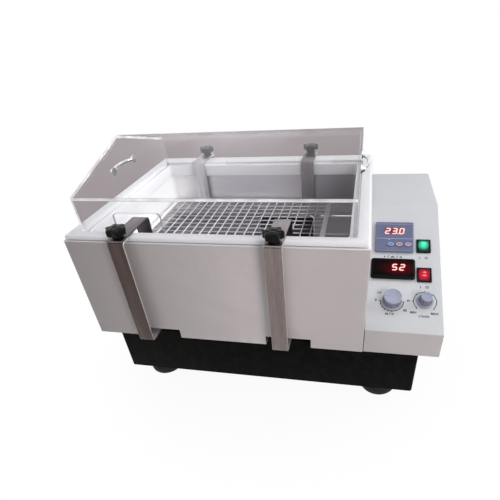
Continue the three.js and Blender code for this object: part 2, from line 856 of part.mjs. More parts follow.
// Clear lid: four walls and a bent roof, notched over the arms, with a handle at each end
function addLid() {
  const lid = groupAt(0, 0, 0);
  const eave = ledge + lidWallHeight;
  const ridge = eave + lidRise;
  const middle = (lidY[0] + lidY[1]) / 2;
  const pitch = lidRise / (middle - lidY[0]);
  const roofSheet = lidSheet * Math.hypot(1, pitch);
  const notches = lidNotchLefts.map((x) =>
    roundedOutline(from(x, lidNotchWidth), [ledge - overrun, ledge + lidNotchHeight], lidNotchCorner),
  );
  const walls = { lid_front: from(lidY[0], lidSheet), lid_back: from(lidY[1] - lidSheet, lidSheet) };
  for (const [name, ys] of Object.entries(walls)) {
    const wall = block(lidX, ys, [ledge, eave - roofSheet - runningGap]);
    const tools = notches.map((outline) => alongY(outline, inside(ys, -overrun)));
    add(name, cut(wall, ...tools), materials.clear, lid);
  }
  const [front, back] = inside(lidY, lidSheet);
  const sideTop = eave - roofSheet + pitch * lidSheet - runningGap;
  const gable = new THREE.Shape([
    new THREE.Vector2(front, ledge),
    new THREE.Vector2(back, ledge),
    new THREE.Vector2(back, sideTop),
    new THREE.Vector2(middle, ridge - roofSheet - runningGap),
    new THREE.Vector2(front, sideTop),
  ]);
  add("lid_left", alongX(gable, from(lidX[0], lidSheet)), materials.clear, lid);
  add("lid_right", alongX(gable, from(lidX[1] - lidSheet, lidSheet)), materials.clear, lid);
  const roof = new THREE.Shape([
    new THREE.Vector2(lidY[0], eave - roofSheet),
    new THREE.Vector2(middle, ridge - roofSheet),
    new THREE.Vector2(lidY[1], eave - roofSheet),
    new THREE.Vector2(lidY[1], eave),
    new THREE.Vector2(middle, ridge),
    new THREE.Vector2(lidY[0], eave),
  ]);
  add("lid_roof", alongX(roof, lidX), materials.clear, lid);

  const bow = bentTube(
    [
      [0, -handleSpan / 2, 0],
      [handleStandoff, -handleCrest / 2, 0],
      [handleStandoff, handleCrest / 2, 0],
      [0, handleSpan / 2, 0],
    ],
    handleRadius,
    handleBend,
    handleSteps,
  );
  const beyondWall = block([-handleSpan, 0], about(0, 2 * handleSpan), about(0, handleSpan));
  const handle = joined(
    cut(bow, beyondWall),
    ...[-handleSpan / 2, handleSpan / 2].map((y) =>
      post(handleFlangeRadius, [0, handleFlange]).rotateY(Math.PI / 2).translate(0, y, 0),
    ),
  );
  const handleZ = ledge + handleHeight;
  add("lid_handle_right", handle.clone(), materials.chrome, groupAt(lidX[1], middle, handleZ, lid));
  const leftPlace = groupAt(lidX[0], middle, handleZ, lid);
  leftPlace.rotation.z = Math.PI;
  add("lid_handle_left", handle.clone(), materials.chrome, leftPlace);
}

// An outline with even lobes round it
function lobedOutline(radius, lobes, depth, pointsEach) {
  const count = lobes * pointsEach;
  return new THREE.Shape(
    Array.from({ length: count }, (_, i) => {
      const angle = (2 * Math.PI * i) / count;
      const reach = radius - (depth / 2) * (1 - Math.cos(angle * lobes));
      return new THREE.Vector2(Math.cos(angle), Math.sin(angle)).multiplyScalar(reach);
    }),
  );
}

// Straps, hangers and star knobs that carry the tray over the rim at four places
function addSuspension() {
  const trayTop = rimTop - trayDrop;
  const frameBottom = trayTop - trayFrameDrop - trayFrameSheet;
  const half = strapSheet / 2;
  const footZ = shellBottom + strapFootRise + half;
  const flangeZ = armBottom - half;
  const armZ = armBottom + half;
  const hookZ = frameBottom - half;
  const studHole = (x, y) =>
    post(studRadius + runningGap, [flangeZ - overrun, armZ + overrun]).translate(x, y, 0);
  const lobes = { depth: clampHeight - 2 * clampRound, bevelThickness: clampRound, bevelSize: clampRound };
  const head = new THREE.ExtrudeGeometry(
    lobedOutline(clampRadius, clampLobes, clampLobeDepth, clampLobeSteps),
    { ...lobes, bevelOffset: -clampRound, bevelSegments: 1 },
  ).translate(0, 0, clampCollar + clampRound);
  const knob = joined(
    head,
    post(clampCollarRadius, [0, clampCollar + clampRound], knobSides),
    post(studRadius, [-studDrop, clampRound]),
  );
  const ends = {
    front: [frontFace, 1, hangerReachFront, clampFromFaceFront],
    rear: [backFace, -1, hangerReachBack, clampFromFaceBack],
  };
  for (const [end, [face, inward, reach, clampFromFace]] of Object.entries(ends)) {
    const outside = face - inward * strapStandoff;
    const legY = outside + inward * half;
    const strap = stripOutline(
      [
        [face + inward * strapFootReach, footZ],
        [legY, footZ],
        [legY, flangeZ],
        [outside + inward * strapFlangeReach, flangeZ],
      ],
      strapSheet,
      strapBend,
    );
    const hangerY = face + inward * (reach - half);
    const hanger = stripOutline(
      [
        [outside, armZ],
        [hangerY, armZ],
        [hangerY, hookZ],
        [hangerY + inward * hookReach, hookZ],
      ],
      strapSheet,
      strapBend,
    );
    const clampY = outside + inward * clampFromFace;
    strapLefts.forEach((x, i) => {
      const hole = studHole(x + strapWidth / 2, clampY);
      const place = `${end}_${endNames[i]}`;
      add(`strap_${place}`, cut(alongX(strap, from(x, strapWidth)), hole), materials.stainless);
      add(`hanger_${place}`, cut(alongX(hanger, from(x, strapWidth)), hole), materials.stainless);
      const spot = groupAt(x + strapWidth / 2, clampY, armZ + half + runningGap);
      add(`clamp_knob_${place}`, knob.clone(), materials.blackPlastic, spot);
    });
  }
  addTray(trayTop);
}

// Wire tray: a flat frame, cross wires under it and long wires on top, all welded
function addTray(top) {
  const trayX = from(leftEnd + trayFromLeft, trayLength);
  const trayY = [frontFace + hangerReachFront + trayEndGap, backFace - hangerReachBack - trayEndGap];
  const windowX = inside(trayX, trayFrameWidth);
  const windowY = inside(trayY, trayFrameWidth);
  const frameZ = [top - trayFrameDrop - trayFrameSheet, top - trayFrameDrop];
  const frame = cut(
    block(trayX, trayY, frameZ),
    block(windowX, windowY, inside(frameZ, -overrun)),
  );
  const hold = trayFrameWidth / 2;
  const spread = ([low, high], count) =>
    Array.from({ length: count }, (_, i) => low + ((high - low) * (i + 1)) / (count + 1));
  const radius = trayWire / 2;
  const longZ = top - radius;
  const crossZ = longZ - trayWire - trayWireGap;
  const wires = [
    ...spread(windowX, trayLongWires).map((x) =>
      post(radius, inside(windowY, -hold), wireSides).rotateX(-Math.PI / 2).translate(x, 0, longZ),
    ),
    ...spread(windowY, trayCrossWires).map((y) =>
      post(radius, inside(windowX, -hold), wireSides).rotateY(Math.PI / 2).translate(0, y, crossZ),
    ),
  ];
  add("tray", joined(frame, ...wires), materials.wire);
}

// Carriage under the bath: a frame on four bearings that slide on two rods
function addCarriage() {
  const plateZ = from(shellBottom + carriageFloorGap, carriageSheet);
  const plateY = inside(bodyY, carriageFromFront);
  const bars = strapLefts.map((x) => block(inside(from(x, strapWidth), -carriageOverhang), plateY, plateZ));
  const spineX = [strapLefts[0], strapLefts[1] + strapWidth];
  const spine = block(spineX, about(0, carriageSpine), plateZ);
  const postX = leftEnd + postFromLeft;
  const rodTop = shellBottom - conRodDrop;
  const rodBottom = rodTop - conRodThickness;
  const pin = [
    post(postShoulderRadius, [rodTop + runningGap, plateZ[1]], knobSides),
    post(postRadius, [rodBottom - runningGap - postCollar, plateZ[0]], knobSides),
    post(postShoulderRadius, from(rodBottom - runningGap - postCollar, postCollar), knobSides),
  ].map((piece) => piece.translate(postX, 0, 0));
  add("carriage_frame", joined(...bars, spine, ...pin), materials.steel);

  const rodZ = plateZ[0] - bearingHeight / 2;
  const deckX = inside([leftEnd, rightEnd], deckFromSide);
  const rodX = inside(deckX, -rodOverhang);
  const rodYs = { front: frontFace + rodFromFront, rear: backFace - rodFromFront };
  for (const [end, y] of Object.entries(rodYs)) {
    const rod = post(rodRadius, rodX).rotateY(Math.PI / 2).translate(0, y, rodZ);
    add(`guide_rod_${end}`, rod, materials.chrome);
    strapLefts.forEach((x, i) => {
      const bearing = cut(
        block(about(0, bearingLength), about(0, bearingWidth), about(0, bearingHeight)),
        post(rodRadius + runningGap, inside(about(0, bearingLength), -overrun)).rotateY(Math.PI / 2),
      );
      const place = groupAt(x + strapWidth / 2, y, rodZ);
      add(`bearing_${end}_${endNames[i]}`, bearing, materials.steel, place);
    });
  }
  return { deckX, rodYs, rodZ, rodTop, rodBottom, postX };
}

// Drive in the base: a folded deck with the motor under it and the belt and crank above
function addDrive({ deckX, rodYs, rodZ, rodTop, rodBottom, postX }) {
  const half = deckSheet / 2;
  const deckZ = shellBottom - deckDrop;
  const flangeZ = shellBottom - baseSheet - half;
  const flangeX = inside(baseX, baseSheet + runningGap);
  const route = [
    [flangeX[0], flangeZ],
    [deckX[0], flangeZ],
    [deckX[0], deckZ],
    [deckX[1], deckZ],
    [deckX[1], flangeZ],
    [flangeX[1], flangeZ],
  ];
  const crankX = postX + conRodLength + crankRadius;
  const motorX = crankX + motorDistance;
  const deckTop = deckZ + half;
  const deckBottom = deckZ - half;
  const bossZ = [deckBottom - bearingBossDrop, deckTop];
  const boss = post(bearingBossRadius, bossZ, knobSides).translate(crankX, 0, 0);
  const upright = (radius, x) =>
    post(radius + runningGap, inside(bossZ, -overrun), knobSides).translate(x, 0, 0);
  const rodHole = (y) =>
    post(rodRadius + runningGap, inside(deckX, -2 * overrun)).rotateY(Math.PI / 2).translate(0, y, rodZ);
  const deck = alongY(stripOutline(route, deckSheet, deckBend), inside(bodyY, deckFromFront));
  add(
    "drive_frame",
    cut(
      joined(deck, boss),
      upright(crankShaftRadius, crankX),
      upright(motorShaftRadius, motorX),
      ...Object.values(rodYs).map(rodHole),
    ),
    materials.steel,
  );

  const wheelTop = rodBottom - crankPinReach - crankPinGap;
  const wheelBottom = wheelTop - crankWheelHeight;
  const grooved = (radius, shaft, shaftBottom) => [
    [0, shaftBottom],
    [shaft, shaftBottom],
    [shaft, wheelBottom],
    [radius, wheelBottom],
    [radius, wheelBottom + pulleyFlange],
    [radius - grooveDepth, wheelBottom + pulleyFlange],
    [radius - grooveDepth, wheelTop - pulleyFlange],
    [radius, wheelTop - pulleyFlange],
    [radius, wheelTop],
    [0, wheelTop],
  ];
  const wheelProfile = grooved(crankWheelRadius, crankShaftRadius, deckBottom - bearingBossDrop);
  add("crank_wheel", turned(wheelProfile, wheelSides), materials.steel, groupAt(crankX, 0, 0));
  const pulleyProfile = grooved(pulleyRadius, motorShaftRadius, deckBottom - motorShaftDrop);
  add("motor_pulley", turned(pulleyProfile, knobSides), materials.steel, groupAt(motorX, 0, 0));

  const shaftHole = motorShaftRadius + runningGap;
  const motor = turned(
    [
      [0, deckBottom - motorShaftDrop - runningGap],
      [shaftHole, deckBottom - motorShaftDrop - runningGap],
      [shaftHole, deckBottom],
      [motorRadius, deckBottom],
      [motorRadius, deckBottom - motorFlange],
      [motorNeck, deckBottom - motorFlange],
      [motorNeck, deckBottom - motorHeight],
      [0, deckBottom - motorHeight],
    ].reverse(),
    wheelSides,
  );
  add("drive_motor", motor, materials.steel, groupAt(motorX, 0, 0));

  // The outline round both grooves, at a distance from them
  const beltOutline = (Kind, gap) => {
    const big = crankWheelRadius - grooveDepth + gap;
    const small = pulleyRadius - grooveDepth + gap;
    const lean = Math.acos((big - small) / motorDistance);
    const outline = new Kind();
    outline.absarc(0, 0, big, lean, 2 * Math.PI - lean, false);
    outline.absarc(motorDistance, 0, small, -lean, lean, false);
    outline.closePath();
    return outline;
  };
  const loop = beltOutline(THREE.Shape, runningGap + beltThickness);
  loop.holes.push(beltOutline(THREE.Path, runningGap));
  const beltZ = inside([wheelBottom + pulleyFlange, wheelTop - pulleyFlange], runningGap);
  const belt = new THREE.ExtrudeGeometry(loop, {
    depth: beltZ[1] - beltZ[0],
    bevelEnabled: false,
    curveSegments: beltSteps,
  });
  add("drive_belt", belt.translate(0, 0, beltZ[0]), materials.rubber, groupAt(crankX, 0, 0));

  const rodSpan = [rodBottom, rodTop];
  const conRod = cut(
    joined(
      post(conRodEye, rodSpan, knobSides),
      post(conRodEye, rodSpan, knobSides).translate(conRodLength, 0, 0),
      block([0, conRodLength], about(0, conRodWidth), rodSpan),
      post(crankPinRadius, [rodBottom - crankPinReach, rodTop], smallSides).translate(conRodLength, 0, 0),
    ),
    post(postRadius + runningGap, inside(rodSpan, -overrun), knobSides),
  );
  add("connecting_rod", conRod, materials.steel, groupAt(postX, 0, 0));
}

// An oval key or pocket
function oval(width, height, [z0, z1]) {
  const outline = new THREE.Shape().absellipse(0, 0, width / 2, height / 2, 0, 2 * Math.PI, false, 0);
  const settings = { depth: z1 - z0, bevelEnabled: false, curveSegments: ovalSteps };
  return new THREE.ExtrudeGeometry(outline, settings).translate(0, 0, z0);
}

// Instruments that sit in the sloping face
function addInstruments() {
  const slope = new THREE.Group();
  slope.applyMatrix4(slopeFrame);
  shaker.add(slope);

  const controller = groupAt(controllerAt.across, controllerAt.up, runningGap, slope);
  const keyXs = [-keyPitch, 0, keyPitch].map((x) => x + keyShift);
  const pocketZ = [controllerBezel - keyPocket, controllerBezel + overrun];
  const pocket = (x) =>
    oval(keyWidth + 2 * runningGap, keyHeight + 2 * runningGap, pocketZ).translate(x, keyRise, 0);
  const square = about(0, controllerSize);
  const housing = joined(
    softBlock(square, square, [0, controllerBezel], controllerCorner, controllerRound),
    block(about(0, controllerBody), about(0, controllerBody), [-controllerDepth, controllerBezel / 2]),
  );
  const display = block(
    about(0, windowWidth),
    about(windowRise, windowHeight),
    [controllerBezel - windowDepth, controllerBezel + overrun],
  );
  const pocketed = cut(housing, display, ...keyXs.map(pocket));
  add("temperature_controller", pocketed, materials.slatePlastic, controller);
  const keyNames = ["set_key", "lower_key", "raise_key"];
  const keyZ = [controllerBezel - keyPocket + keyTravel + runningGap, controllerBezel + keyProud];
  keyXs.forEach((x, i) => {
    const key = oval(keyWidth, keyHeight, keyZ);
    const colour = i === 0 ? materials.blueKey : materials.pinkKey;
    add(keyNames[i], key, colour, groupAt(x, keyRise, 0, controller));
  });

  const meter = groupAt(meterAt.across, meterAt.up, runningGap, slope);
  const meterHousing = joined(
    softBlock(about(0, meterWidth), about(0, meterHeight), [0, meterBezel], meterCorner, meterRound),
    block(about(0, meterBodyWidth), about(0, meterBodyHeight), [-meterDepth, meterBezel / 2]),
  );
  const meterWindow = block(
    about(0, meterWindowWidth),
    about(0, meterWindowHeight),
    [meterBezel - windowDepth, meterBezel + overrun],
  );
  add("speed_meter", cut(meterHousing, meterWindow), materials.blackPlastic, meter);

  const switches = {
    power: [powerUp, materials.greenLamp],
    shake: [shakeUp, materials.redLamp],
  };
  const openingWidth = switchWidth - 2 * switchWall;
  const openingHeight = switchHeight - 2 * switchWall;
  for (const [name, [up, lamp]] of Object.entries(switches)) {
    const place = groupAt(switchAcross, up, runningGap, slope);
    const frame = cut(
      joined(
        roundedBlock(about(0, switchWidth), about(0, switchHeight), [0, switchBezel], switchBodyInset),
        block(
          about(0, switchWidth - 2 * switchBodyInset),
          about(0, switchHeight - 2 * switchBodyInset),
          [-switchDepth, switchBezel / 2],
        ),
      ),
      block(about(0, openingWidth), about(0, openingHeight), [-switchPocket, switchBezel + overrun]),
    );
    add(`${name}_switch_frame`, frame, materials.blackPlastic, place);
    const half = openingHeight / 2 - slideGap / 2;
    const dip = half * Math.tan(rockerTilt);
    const outline = new THREE.Shape([
      new THREE.Vector2(-half, rockerTop + dip),
      new THREE.Vector2(0, rockerTop),
      new THREE.Vector2(half, rockerTop + dip),
      new THREE.Vector2(half, -rockerEdge),
      new THREE.Vector2(half / 2, -rockerKeel),
      new THREE.Vector2(-half / 2, -rockerKeel),
      new THREE.Vector2(-half, -rockerEdge),
    ]);
    const rocker = alongX(outline, about(0, openingWidth - 2 * runningGap));
    const pivot = groupAt(0, 0, -rockerPivotDrop, place);
    pivot.rotation.x = rockerTilt;
    add(`${name}_rocker`, rocker, lamp, pivot);
  }

  const knobs = {
    timer: [timerAt, timerSkirtRadius, timerCapRadius, timerHeight],
    speed: [speedAt, speedSkirtRadius, speedCapRadius, speedHeight],
  };
  for (const [name, [{ across, up }, skirt, cap, height]] of Object.entries(knobs)) {
    const waist = cap + knobTaper;
    const skirtPiece = turned(
      [
        [0, 0],
        [skirt, 0],
        [skirt, knobSkirt],
        [waist, knobSkirt + knobTaper],
        [0, knobSkirt + knobTaper],
      ],
      knobSides,
    );
    const grip = new THREE.ExtrudeGeometry(lobedOutline(cap, fluteCount, fluteDepth, fluteSteps), {
      depth: height - knobSkirt - 2 * knobRound,
      bevelThickness: knobRound,
      bevelSize: knobRound,
      bevelOffset: -knobRound,
      bevelSegments: 1,
    }).translate(0, 0, knobSkirt + knobRound);
    const shaft = post(knobShaftRadius, [-knobShaftDrop, knobSkirt]);
    const place = groupAt(across, up, knobSeat, slope);
    add(`${name}_knob`, joined(skirtPiece, grip, shaft), materials.silverPlastic, place);
  }
}

// Cable gland at the back of the control box
function addGland() {
  const gland = turned(
    [
      [glandBore, -2 * overrun],
      [glandBodyRadius, -2 * overrun],
      [glandBodyRadius, runningGap],
      [glandRadius, runningGap],
      [glandRadius, glandNut],
      [glandBodyRadius, glandNut + runningGap],
      [glandBore + bodySheet, glandReach],
      [glandBore, glandReach],
      [glandBore, -2 * overrun],
    ],
    knobSides,
  ).rotateX(-Math.PI / 2);
  const place = groupAt(rightEnd - glandFromRight, backFace, shellBottom + glandRise);
  add("cable_gland", gland, materials.blackPlastic, place);
}

addBase();
addShell();
addControlBox();
addRim();
addTank();
addLid();
addSuspension();
addDrive(addCarriage());
addInstruments();
addGland();

export default shaker;
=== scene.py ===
# Water bath shaker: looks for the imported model, in metres, +Z up.
# Sizes are written in millimetres and turned into metres by the tools below.
import math
import bmesh
import bpy
from mathutils import Matrix, Vector


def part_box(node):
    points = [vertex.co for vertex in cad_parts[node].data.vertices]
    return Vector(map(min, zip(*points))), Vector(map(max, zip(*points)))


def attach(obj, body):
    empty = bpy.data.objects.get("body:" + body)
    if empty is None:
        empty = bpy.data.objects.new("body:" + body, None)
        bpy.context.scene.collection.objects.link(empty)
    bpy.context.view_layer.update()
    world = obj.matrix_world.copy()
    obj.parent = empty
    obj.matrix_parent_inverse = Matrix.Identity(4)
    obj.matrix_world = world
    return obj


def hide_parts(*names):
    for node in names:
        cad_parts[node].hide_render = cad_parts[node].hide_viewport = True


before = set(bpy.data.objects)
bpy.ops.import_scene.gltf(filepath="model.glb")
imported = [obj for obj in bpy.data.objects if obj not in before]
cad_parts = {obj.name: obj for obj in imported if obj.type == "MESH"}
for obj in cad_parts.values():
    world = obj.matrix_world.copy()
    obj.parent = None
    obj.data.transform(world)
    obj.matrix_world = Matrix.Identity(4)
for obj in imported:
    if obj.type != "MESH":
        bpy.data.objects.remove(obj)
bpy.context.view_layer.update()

MM = 0.001
SAME_PLACE = 0.01 * MM


# ---- workshop tools

def at(*place):
    return Vector([value * MM for value in place])


def moved(x, y, z=0.0):
    return Matrix.Translation(at(x, y, z))


def swung(degrees, axis="Z"):
    return Matrix.Rotation(math.radians(degrees), 4, axis)


def only(*pieces):
    bpy.ops.object.select_all(action="DESELECT")
    for piece in pieces:
        piece.select_set(True)
    bpy.context.view_layer.objects.active = pieces[0]


def settle(piece):
    only(piece)
    bpy.ops.object.transform_apply(location=True, rotation=True, scale=True)
    return piece


def fresh(name, add, **options):
    """A new piece from one of the starting shapes."""
    bpy.ops.object.select_all(action="DESELECT")
    add(**options)
    bpy.context.object.name = name
    return bpy.context.object


def open_up(piece, kind="FACE"):
    """Edit mode, with everything selected."""
    only(piece)
    bpy.ops.object.mode_set(mode="EDIT")
    bpy.ops.mesh.select_mode(type=kind)
    bpy.ops.mesh.select_all(action="SELECT")


def close_up():
    bpy.ops.object.mode_set(mode="OBJECT")


def draw_out(x, y, z):
    bpy.ops.mesh.extrude_region_move(TRANSFORM_OT_translate={"value": at(x, y, z)})


def pick_faces(piece, wanted):
    bpy.ops.mesh.select_all(action="DESELECT")
    shape = bmesh.from_edit_mesh(piece.data)
    for face in filter(wanted, shape.faces):
        face.select_set(True)
    shape.select_flush_mode()
    bmesh.update_edit_mesh(piece.data)


def face_out(piece):
    open_up(piece)
    bpy.ops.mesh.remove_doubles(threshold=SAME_PLACE)
    bpy.ops.mesh.normals_make_consistent(inside=False)
    close_up()
    return piece


def thicken(piece, height):
    """Draws a flat shape up along Z."""
    open_up(piece)
    draw_out(0, 0, height)
    close_up()
    return face_out(piece)


def round_edges(piece, width, steps=3, above=35):
    bevel = piece.modifiers.new("rounded edges", "BEVEL")
    bevel.width = width * MM
    bevel.segments = steps
    bevel.limit_method = "ANGLE"
    bevel.angle_limit = math.radians(above)
    only(piece)
    bpy.ops.object.modifier_apply(modifier=bevel.name)
    return piece


def soften(piece, angle=35):
    only(piece)
    bpy.ops.object.shade_smooth_by_angle(angle=math.radians(angle))
    return piece


def duplicate(piece, name, place, turn=Matrix()):
    other = bpy.data.objects.new(name, piece.data.copy())
    bpy.context.scene.collection.objects.link(other)
    other.data.transform(moved(*place) @ turn)
    return other


def weld_together(name, pieces):
    only(*pieces)
    bpy.ops.object.join()
    whole = bpy.context.view_layer.objects.active
    whole.name = name
    whole.data.name = name
    return whole


def cut_out(piece, *cutters):
    for cutter in cutters:
        only(piece)
        cut = piece.modifiers.new("cut", "BOOLEAN")
        cut.operation = "DIFFERENCE"
        cut.solver = "EXACT"
        cut.object = cutter
        bpy.ops.object.modifier_apply(modifier=cut.name)
        bpy.data.objects.remove(cutter)


def block(name, low, high, edge=0, steps=3):
    middle = [(a + b) / 2 for a, b in zip(low, high)]
    piece = fresh(name, bpy.ops.mesh.primitive_cube_add, size=MM, location=at(*middle))
    piece.scale = [b - a for a, b in zip(low, high)]
    settle(piece)
    return round_edges(piece, edge, steps) if edge else piece


def round_bar(name, radius, low, high, sides, edge=0):
    """A bar along Z, from low to high, on the origin's axis."""
    piece = settle(fresh(name, bpy.ops.mesh.primitive_cylinder_add, vertices=sides, radius=radius * MM,
                         depth=(high - low) * MM, location=(0, 0, (high + low) / 2 * MM)))
    return round_edges(piece, edge, 3, 60) if edge else piece


def disc(name, radius, sides, centre=(0, 0, 0), turn=(0, 0, 0)):
    """A flat disc, or a polygon where it has few sides."""
    return settle(fresh(name, bpy.ops.mesh.primitive_circle_add, vertices=sides, radius=radius * MM,
                        fill_type="NGON", location=at(*centre), rotation=turn))


def turned(name, outline, sides):
    """A piece turned on a lathe about Z: outline is a list of (radius, height)."""
    piece = fresh(name, bpy.ops.mesh.primitive_plane_add, size=MM)
    open_up(piece, "VERT")
    bpy.ops.mesh.merge(type="CENTER")
    bpy.ops.transform.translate(value=at(outline[0][0], 0, outline[0][1]))
    for (r0, z0), (r1, z1) in zip(outline, outline[1:]):
        draw_out(r1 - r0, 0, z1 - z0)
    bpy.ops.mesh.select_all(action="SELECT")
    bpy.ops.mesh.spin(steps=sides, angle=math.tau, center=(0, 0, 0), axis=(0, 0, 1))
    close_up()
    return soften(face_out(piece))


def bent(piece, moves, steps):
    """Draws a section along: ("go", shift) or ("turn", degrees, centre, axis)."""
    open_up(piece)
    for move in moves:
        if move[0] == "go":
            draw_out(*move[1])
        else:
            bpy.ops.mesh.spin(steps=steps, angle=-math.radians(move[1]), center=at(*move[2]), axis=move[3])
    close_up()
    face_out(piece)


def finish(piece, material, body="housing", node=None):
    """The piece in its material, riding on its body, in place of its CAD node if it has one."""
    piece.data.materials.clear()
    piece.data.materials.append(material)
    for face in piece.data.polygons:
        face.material_index = 0
    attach(piece, body)
    if node:
        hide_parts(node)
    return piece


def dressed(node, material, body, width, steps=3, above=30, smooth=35):
    """The solid of a CAD node with its edges rounded as the real piece's are."""
    piece = bpy.data.objects.new(node + "_finished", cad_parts[node].data.copy())
    bpy.context.scene.collection.objects.link(piece)
    piece.data.materials.clear()
    open_up(piece)
    bpy.ops.mesh.remove_doubles(threshold=SAME_PLACE)
    bpy.ops.mesh.dissolve_limited(angle_limit=math.radians(0.5))
    close_up()
    round_edges(piece, width, steps, above)
    return finish(soften(piece, smooth), material, body, node)


# ---- material tools

def shade(red, green, blue):
    """A colour as a screen shows it, 0 to 255, made linear."""
    def linear(value):
        value /= 255
        return value / 12.92 if value <= 0.04045 else ((value + 0.055) / 1.055) ** 2.4
    return (linear(red), linear(green), linear(blue), 1.0)


def feed(tree, node, feeds):
    """Links each input to a socket, or sets it to a value."""
    for name, value in feeds.items():
        if isinstance(value, bpy.types.NodeSocket):
            tree.links.new(value, node.inputs[name])
        else:
            node.inputs[name].default_value = value


def put(tree, kind, feeds, **settings):
    made = tree.nodes.new("ShaderNode" + kind)
    for name, value in settings.items():
        setattr(made, name, value)
    feed(tree, made, feeds)
    return made.outputs


def blend_colours(tree, mask, under, over):
    """Each colour is a socket, or red, green and blue from 0 to 255."""
    under, over = [tone if isinstance(tone, bpy.types.NodeSocket) else shade(*tone) for tone in (under, over)]
    return put(tree, "Mix", {0: mask, 6: under, 7: over}, data_type="RGBA")[2]


def blend_values(tree, mask, under, over):
    return put(tree, "Mix", {0: mask, 2: under, 3: over})[0]


def reckon(tree, operation, first, second, clamp=False):
    return put(tree, "Math", {0: first, 1: second}, operation=operation, use_clamp=clamp)[0]


def ramp(tree, value, low, high, begin=0.0, end=1.0, soft=True):
    """From begin, where the value is low, to end, where it is high."""
    return put(tree, "MapRange", {"Value": value, "From Min": low, "From Max": high, "To Min": begin, "To Max": end},
               interpolation_type="SMOOTHSTEP" if soft else "LINEAR")["Result"]


def noise(tree, where, scale, detail, roughness=0.5):
    return put(tree, "TexNoise", {"Vector": where, "Scale": scale, "Detail": detail, "Roughness": roughness})["Fac"]


def split(tree, vector):
    return put(tree, "SeparateXYZ", {0: vector})


def surface_shape(tree, output):
    return put(tree, "NewGeometry", {})[output]


def new_group(name, inputs, outputs):
    """A group of nodes: a vector and named inputs with their first values, and named outputs."""
    tree = bpy.data.node_groups.new(name, "ShaderNodeTree")
    tree.interface.new_socket(name="Vector", in_out="INPUT", socket_type="NodeSocketVector")
    for label, value in inputs.items():
        kind = "NodeSocketVector" if isinstance(value, tuple) else "NodeSocketFloat"
        tree.interface.new_socket(name=label, in_out="INPUT", socket_type=kind).default_value = value
    for label in outputs:
        tree.interface.new_socket(name=label, in_out="OUTPUT", socket_type="NodeSocketFloat")
    return tree, tree.nodes.new("NodeGroupInput").outputs, tree.nodes.new("NodeGroupOutput").inputs


def place_group(tree, group, *values):
    """The outputs of a group whose inputs get the values in their order."""
    return put(tree, "Group", dict(enumerate(values)), node_tree=group)


def build_uneven_tone():
    """Broad patches and fine mottling, for colour and gloss."""
    tree, given, out = new_group("uneven tone", {"Patch Scale": 9.0, "Fine Scale": 120.0}, ["Patches", "Fine"])
    for size, detail, name in (("Patch Scale", 3.0, "Patches"), ("Fine Scale", 5.0, "Fine")):
        tone = noise(tree, given["Vector"], given[size], detail)
        tree.links.new(ramp(tree, tone, 0.3, 0.7, soft=False), out[name])
    return tree


def build_orange_peel():
    """The low rounded bumps of a powder coat or a moulded skin."""
    tree, given, out = new_group("orange peel", {"Grain Scale": 700.0}, ["Height"])
    cells = put(tree, "TexVoronoi", {"Vector": given["Vector"], "Scale": given["Grain Scale"], "Smoothness": 0.9},
                feature="SMOOTH_F1")
    soft = noise(tree, given["Vector"], given["Grain Scale"], 2.0)
    tree.links.new(blend_values(tree, 0.5, cells["Distance"], soft), out["Height"])
    return tree


def build_brushed_grain():
    """Long fine scratches; the stretch makes them run along one axis."""
    tree, given, out = new_group("brushed grain", {"Stretch": (1.0, 1.0, 1.0), "Scratch Scale": 40.0},
                                 ["Streaks", "Height"])
    drawn = put(tree, "VectorMath", {0: given["Vector"], 1: given["Stretch"]}, operation="MULTIPLY")[0]
    fine = noise(tree, drawn, given["Scratch Scale"], 8.0, 0.7)
    bands = noise(tree, drawn, reckon(tree, "MULTIPLY", given["Scratch Scale"], 0.2), 3.0)
    both = blend_values(tree, 0.35, fine, bands)
    tree.links.new(ramp(tree, both, 0.32, 0.68, soft=False), out["Streaks"])
    tree.links.new(fine, out["Height"])
    return tree


def build_edge_wear():
    """Where edges have been rubbed: a broken line along the convex ones."""
    tree, given, out = new_group("edge wear", {"Amount": 0.5}, ["Mask"])
    edge = ramp(tree, surface_shape(tree, "Pointiness"), 0.52, 0.62, soft=False)
    broken = ramp(tree, noise(tree, given["Vector"], 60.0, 4.0), 0.4, 0.65, soft=False)
    rubbed = reckon(tree, "MULTIPLY", edge, broken)
    tree.links.new(reckon(tree, "MULTIPLY", rubbed, given["Amount"], True), out["Mask"])
    return tree


def build_settled_dust():
    """A thin film on what faces up, in soft patches."""
    tree, given, out = new_group("settled dust", {"Amount": 0.2, "Patch Scale": 14.0}, ["Mask"])
    up = ramp(tree, split(tree, surface_shape(tree, "Normal"))["Z"], 0.3, 1.0, soft=False)
    lay = reckon(tree, "MULTIPLY", up, noise(tree, given["Vector"], given["Patch Scale"], 6.0, 0.65))
    tree.links.new(reckon(tree, "MULTIPLY", lay, given["Amount"], True), out["Mask"])
    return tree


uneven_tone = build_uneven_tone()
orange_peel = build_orange_peel()
brushed_grain = build_brushed_grain()
edge_wear = build_edge_wear()
settled_dust = build_settled_dust()


def new_material(name, patch_scale, fine_scale):
    """A material, its nodes and surface, the place on the piece, and an uneven tone over it."""
    material = bpy.data.materials.new(name)
    material.use_nodes = True
    tree = material.node_tree
    where = put(tree, "TexCoord", {})["Object"]
    tone = place_group(tree, uneven_tone, where, patch_scale, fine_scale)
    return material, tree, tree.nodes["Principled BSDF"], where, tone


def bumped(tree, surface, height, strength, depth=0.05):
    bump = put(tree, "Bump", {"Height": height, "Strength": strength, "Distance": depth * MM})
    tree.links.new(bump["Normal"], surface.inputs["Normal"])


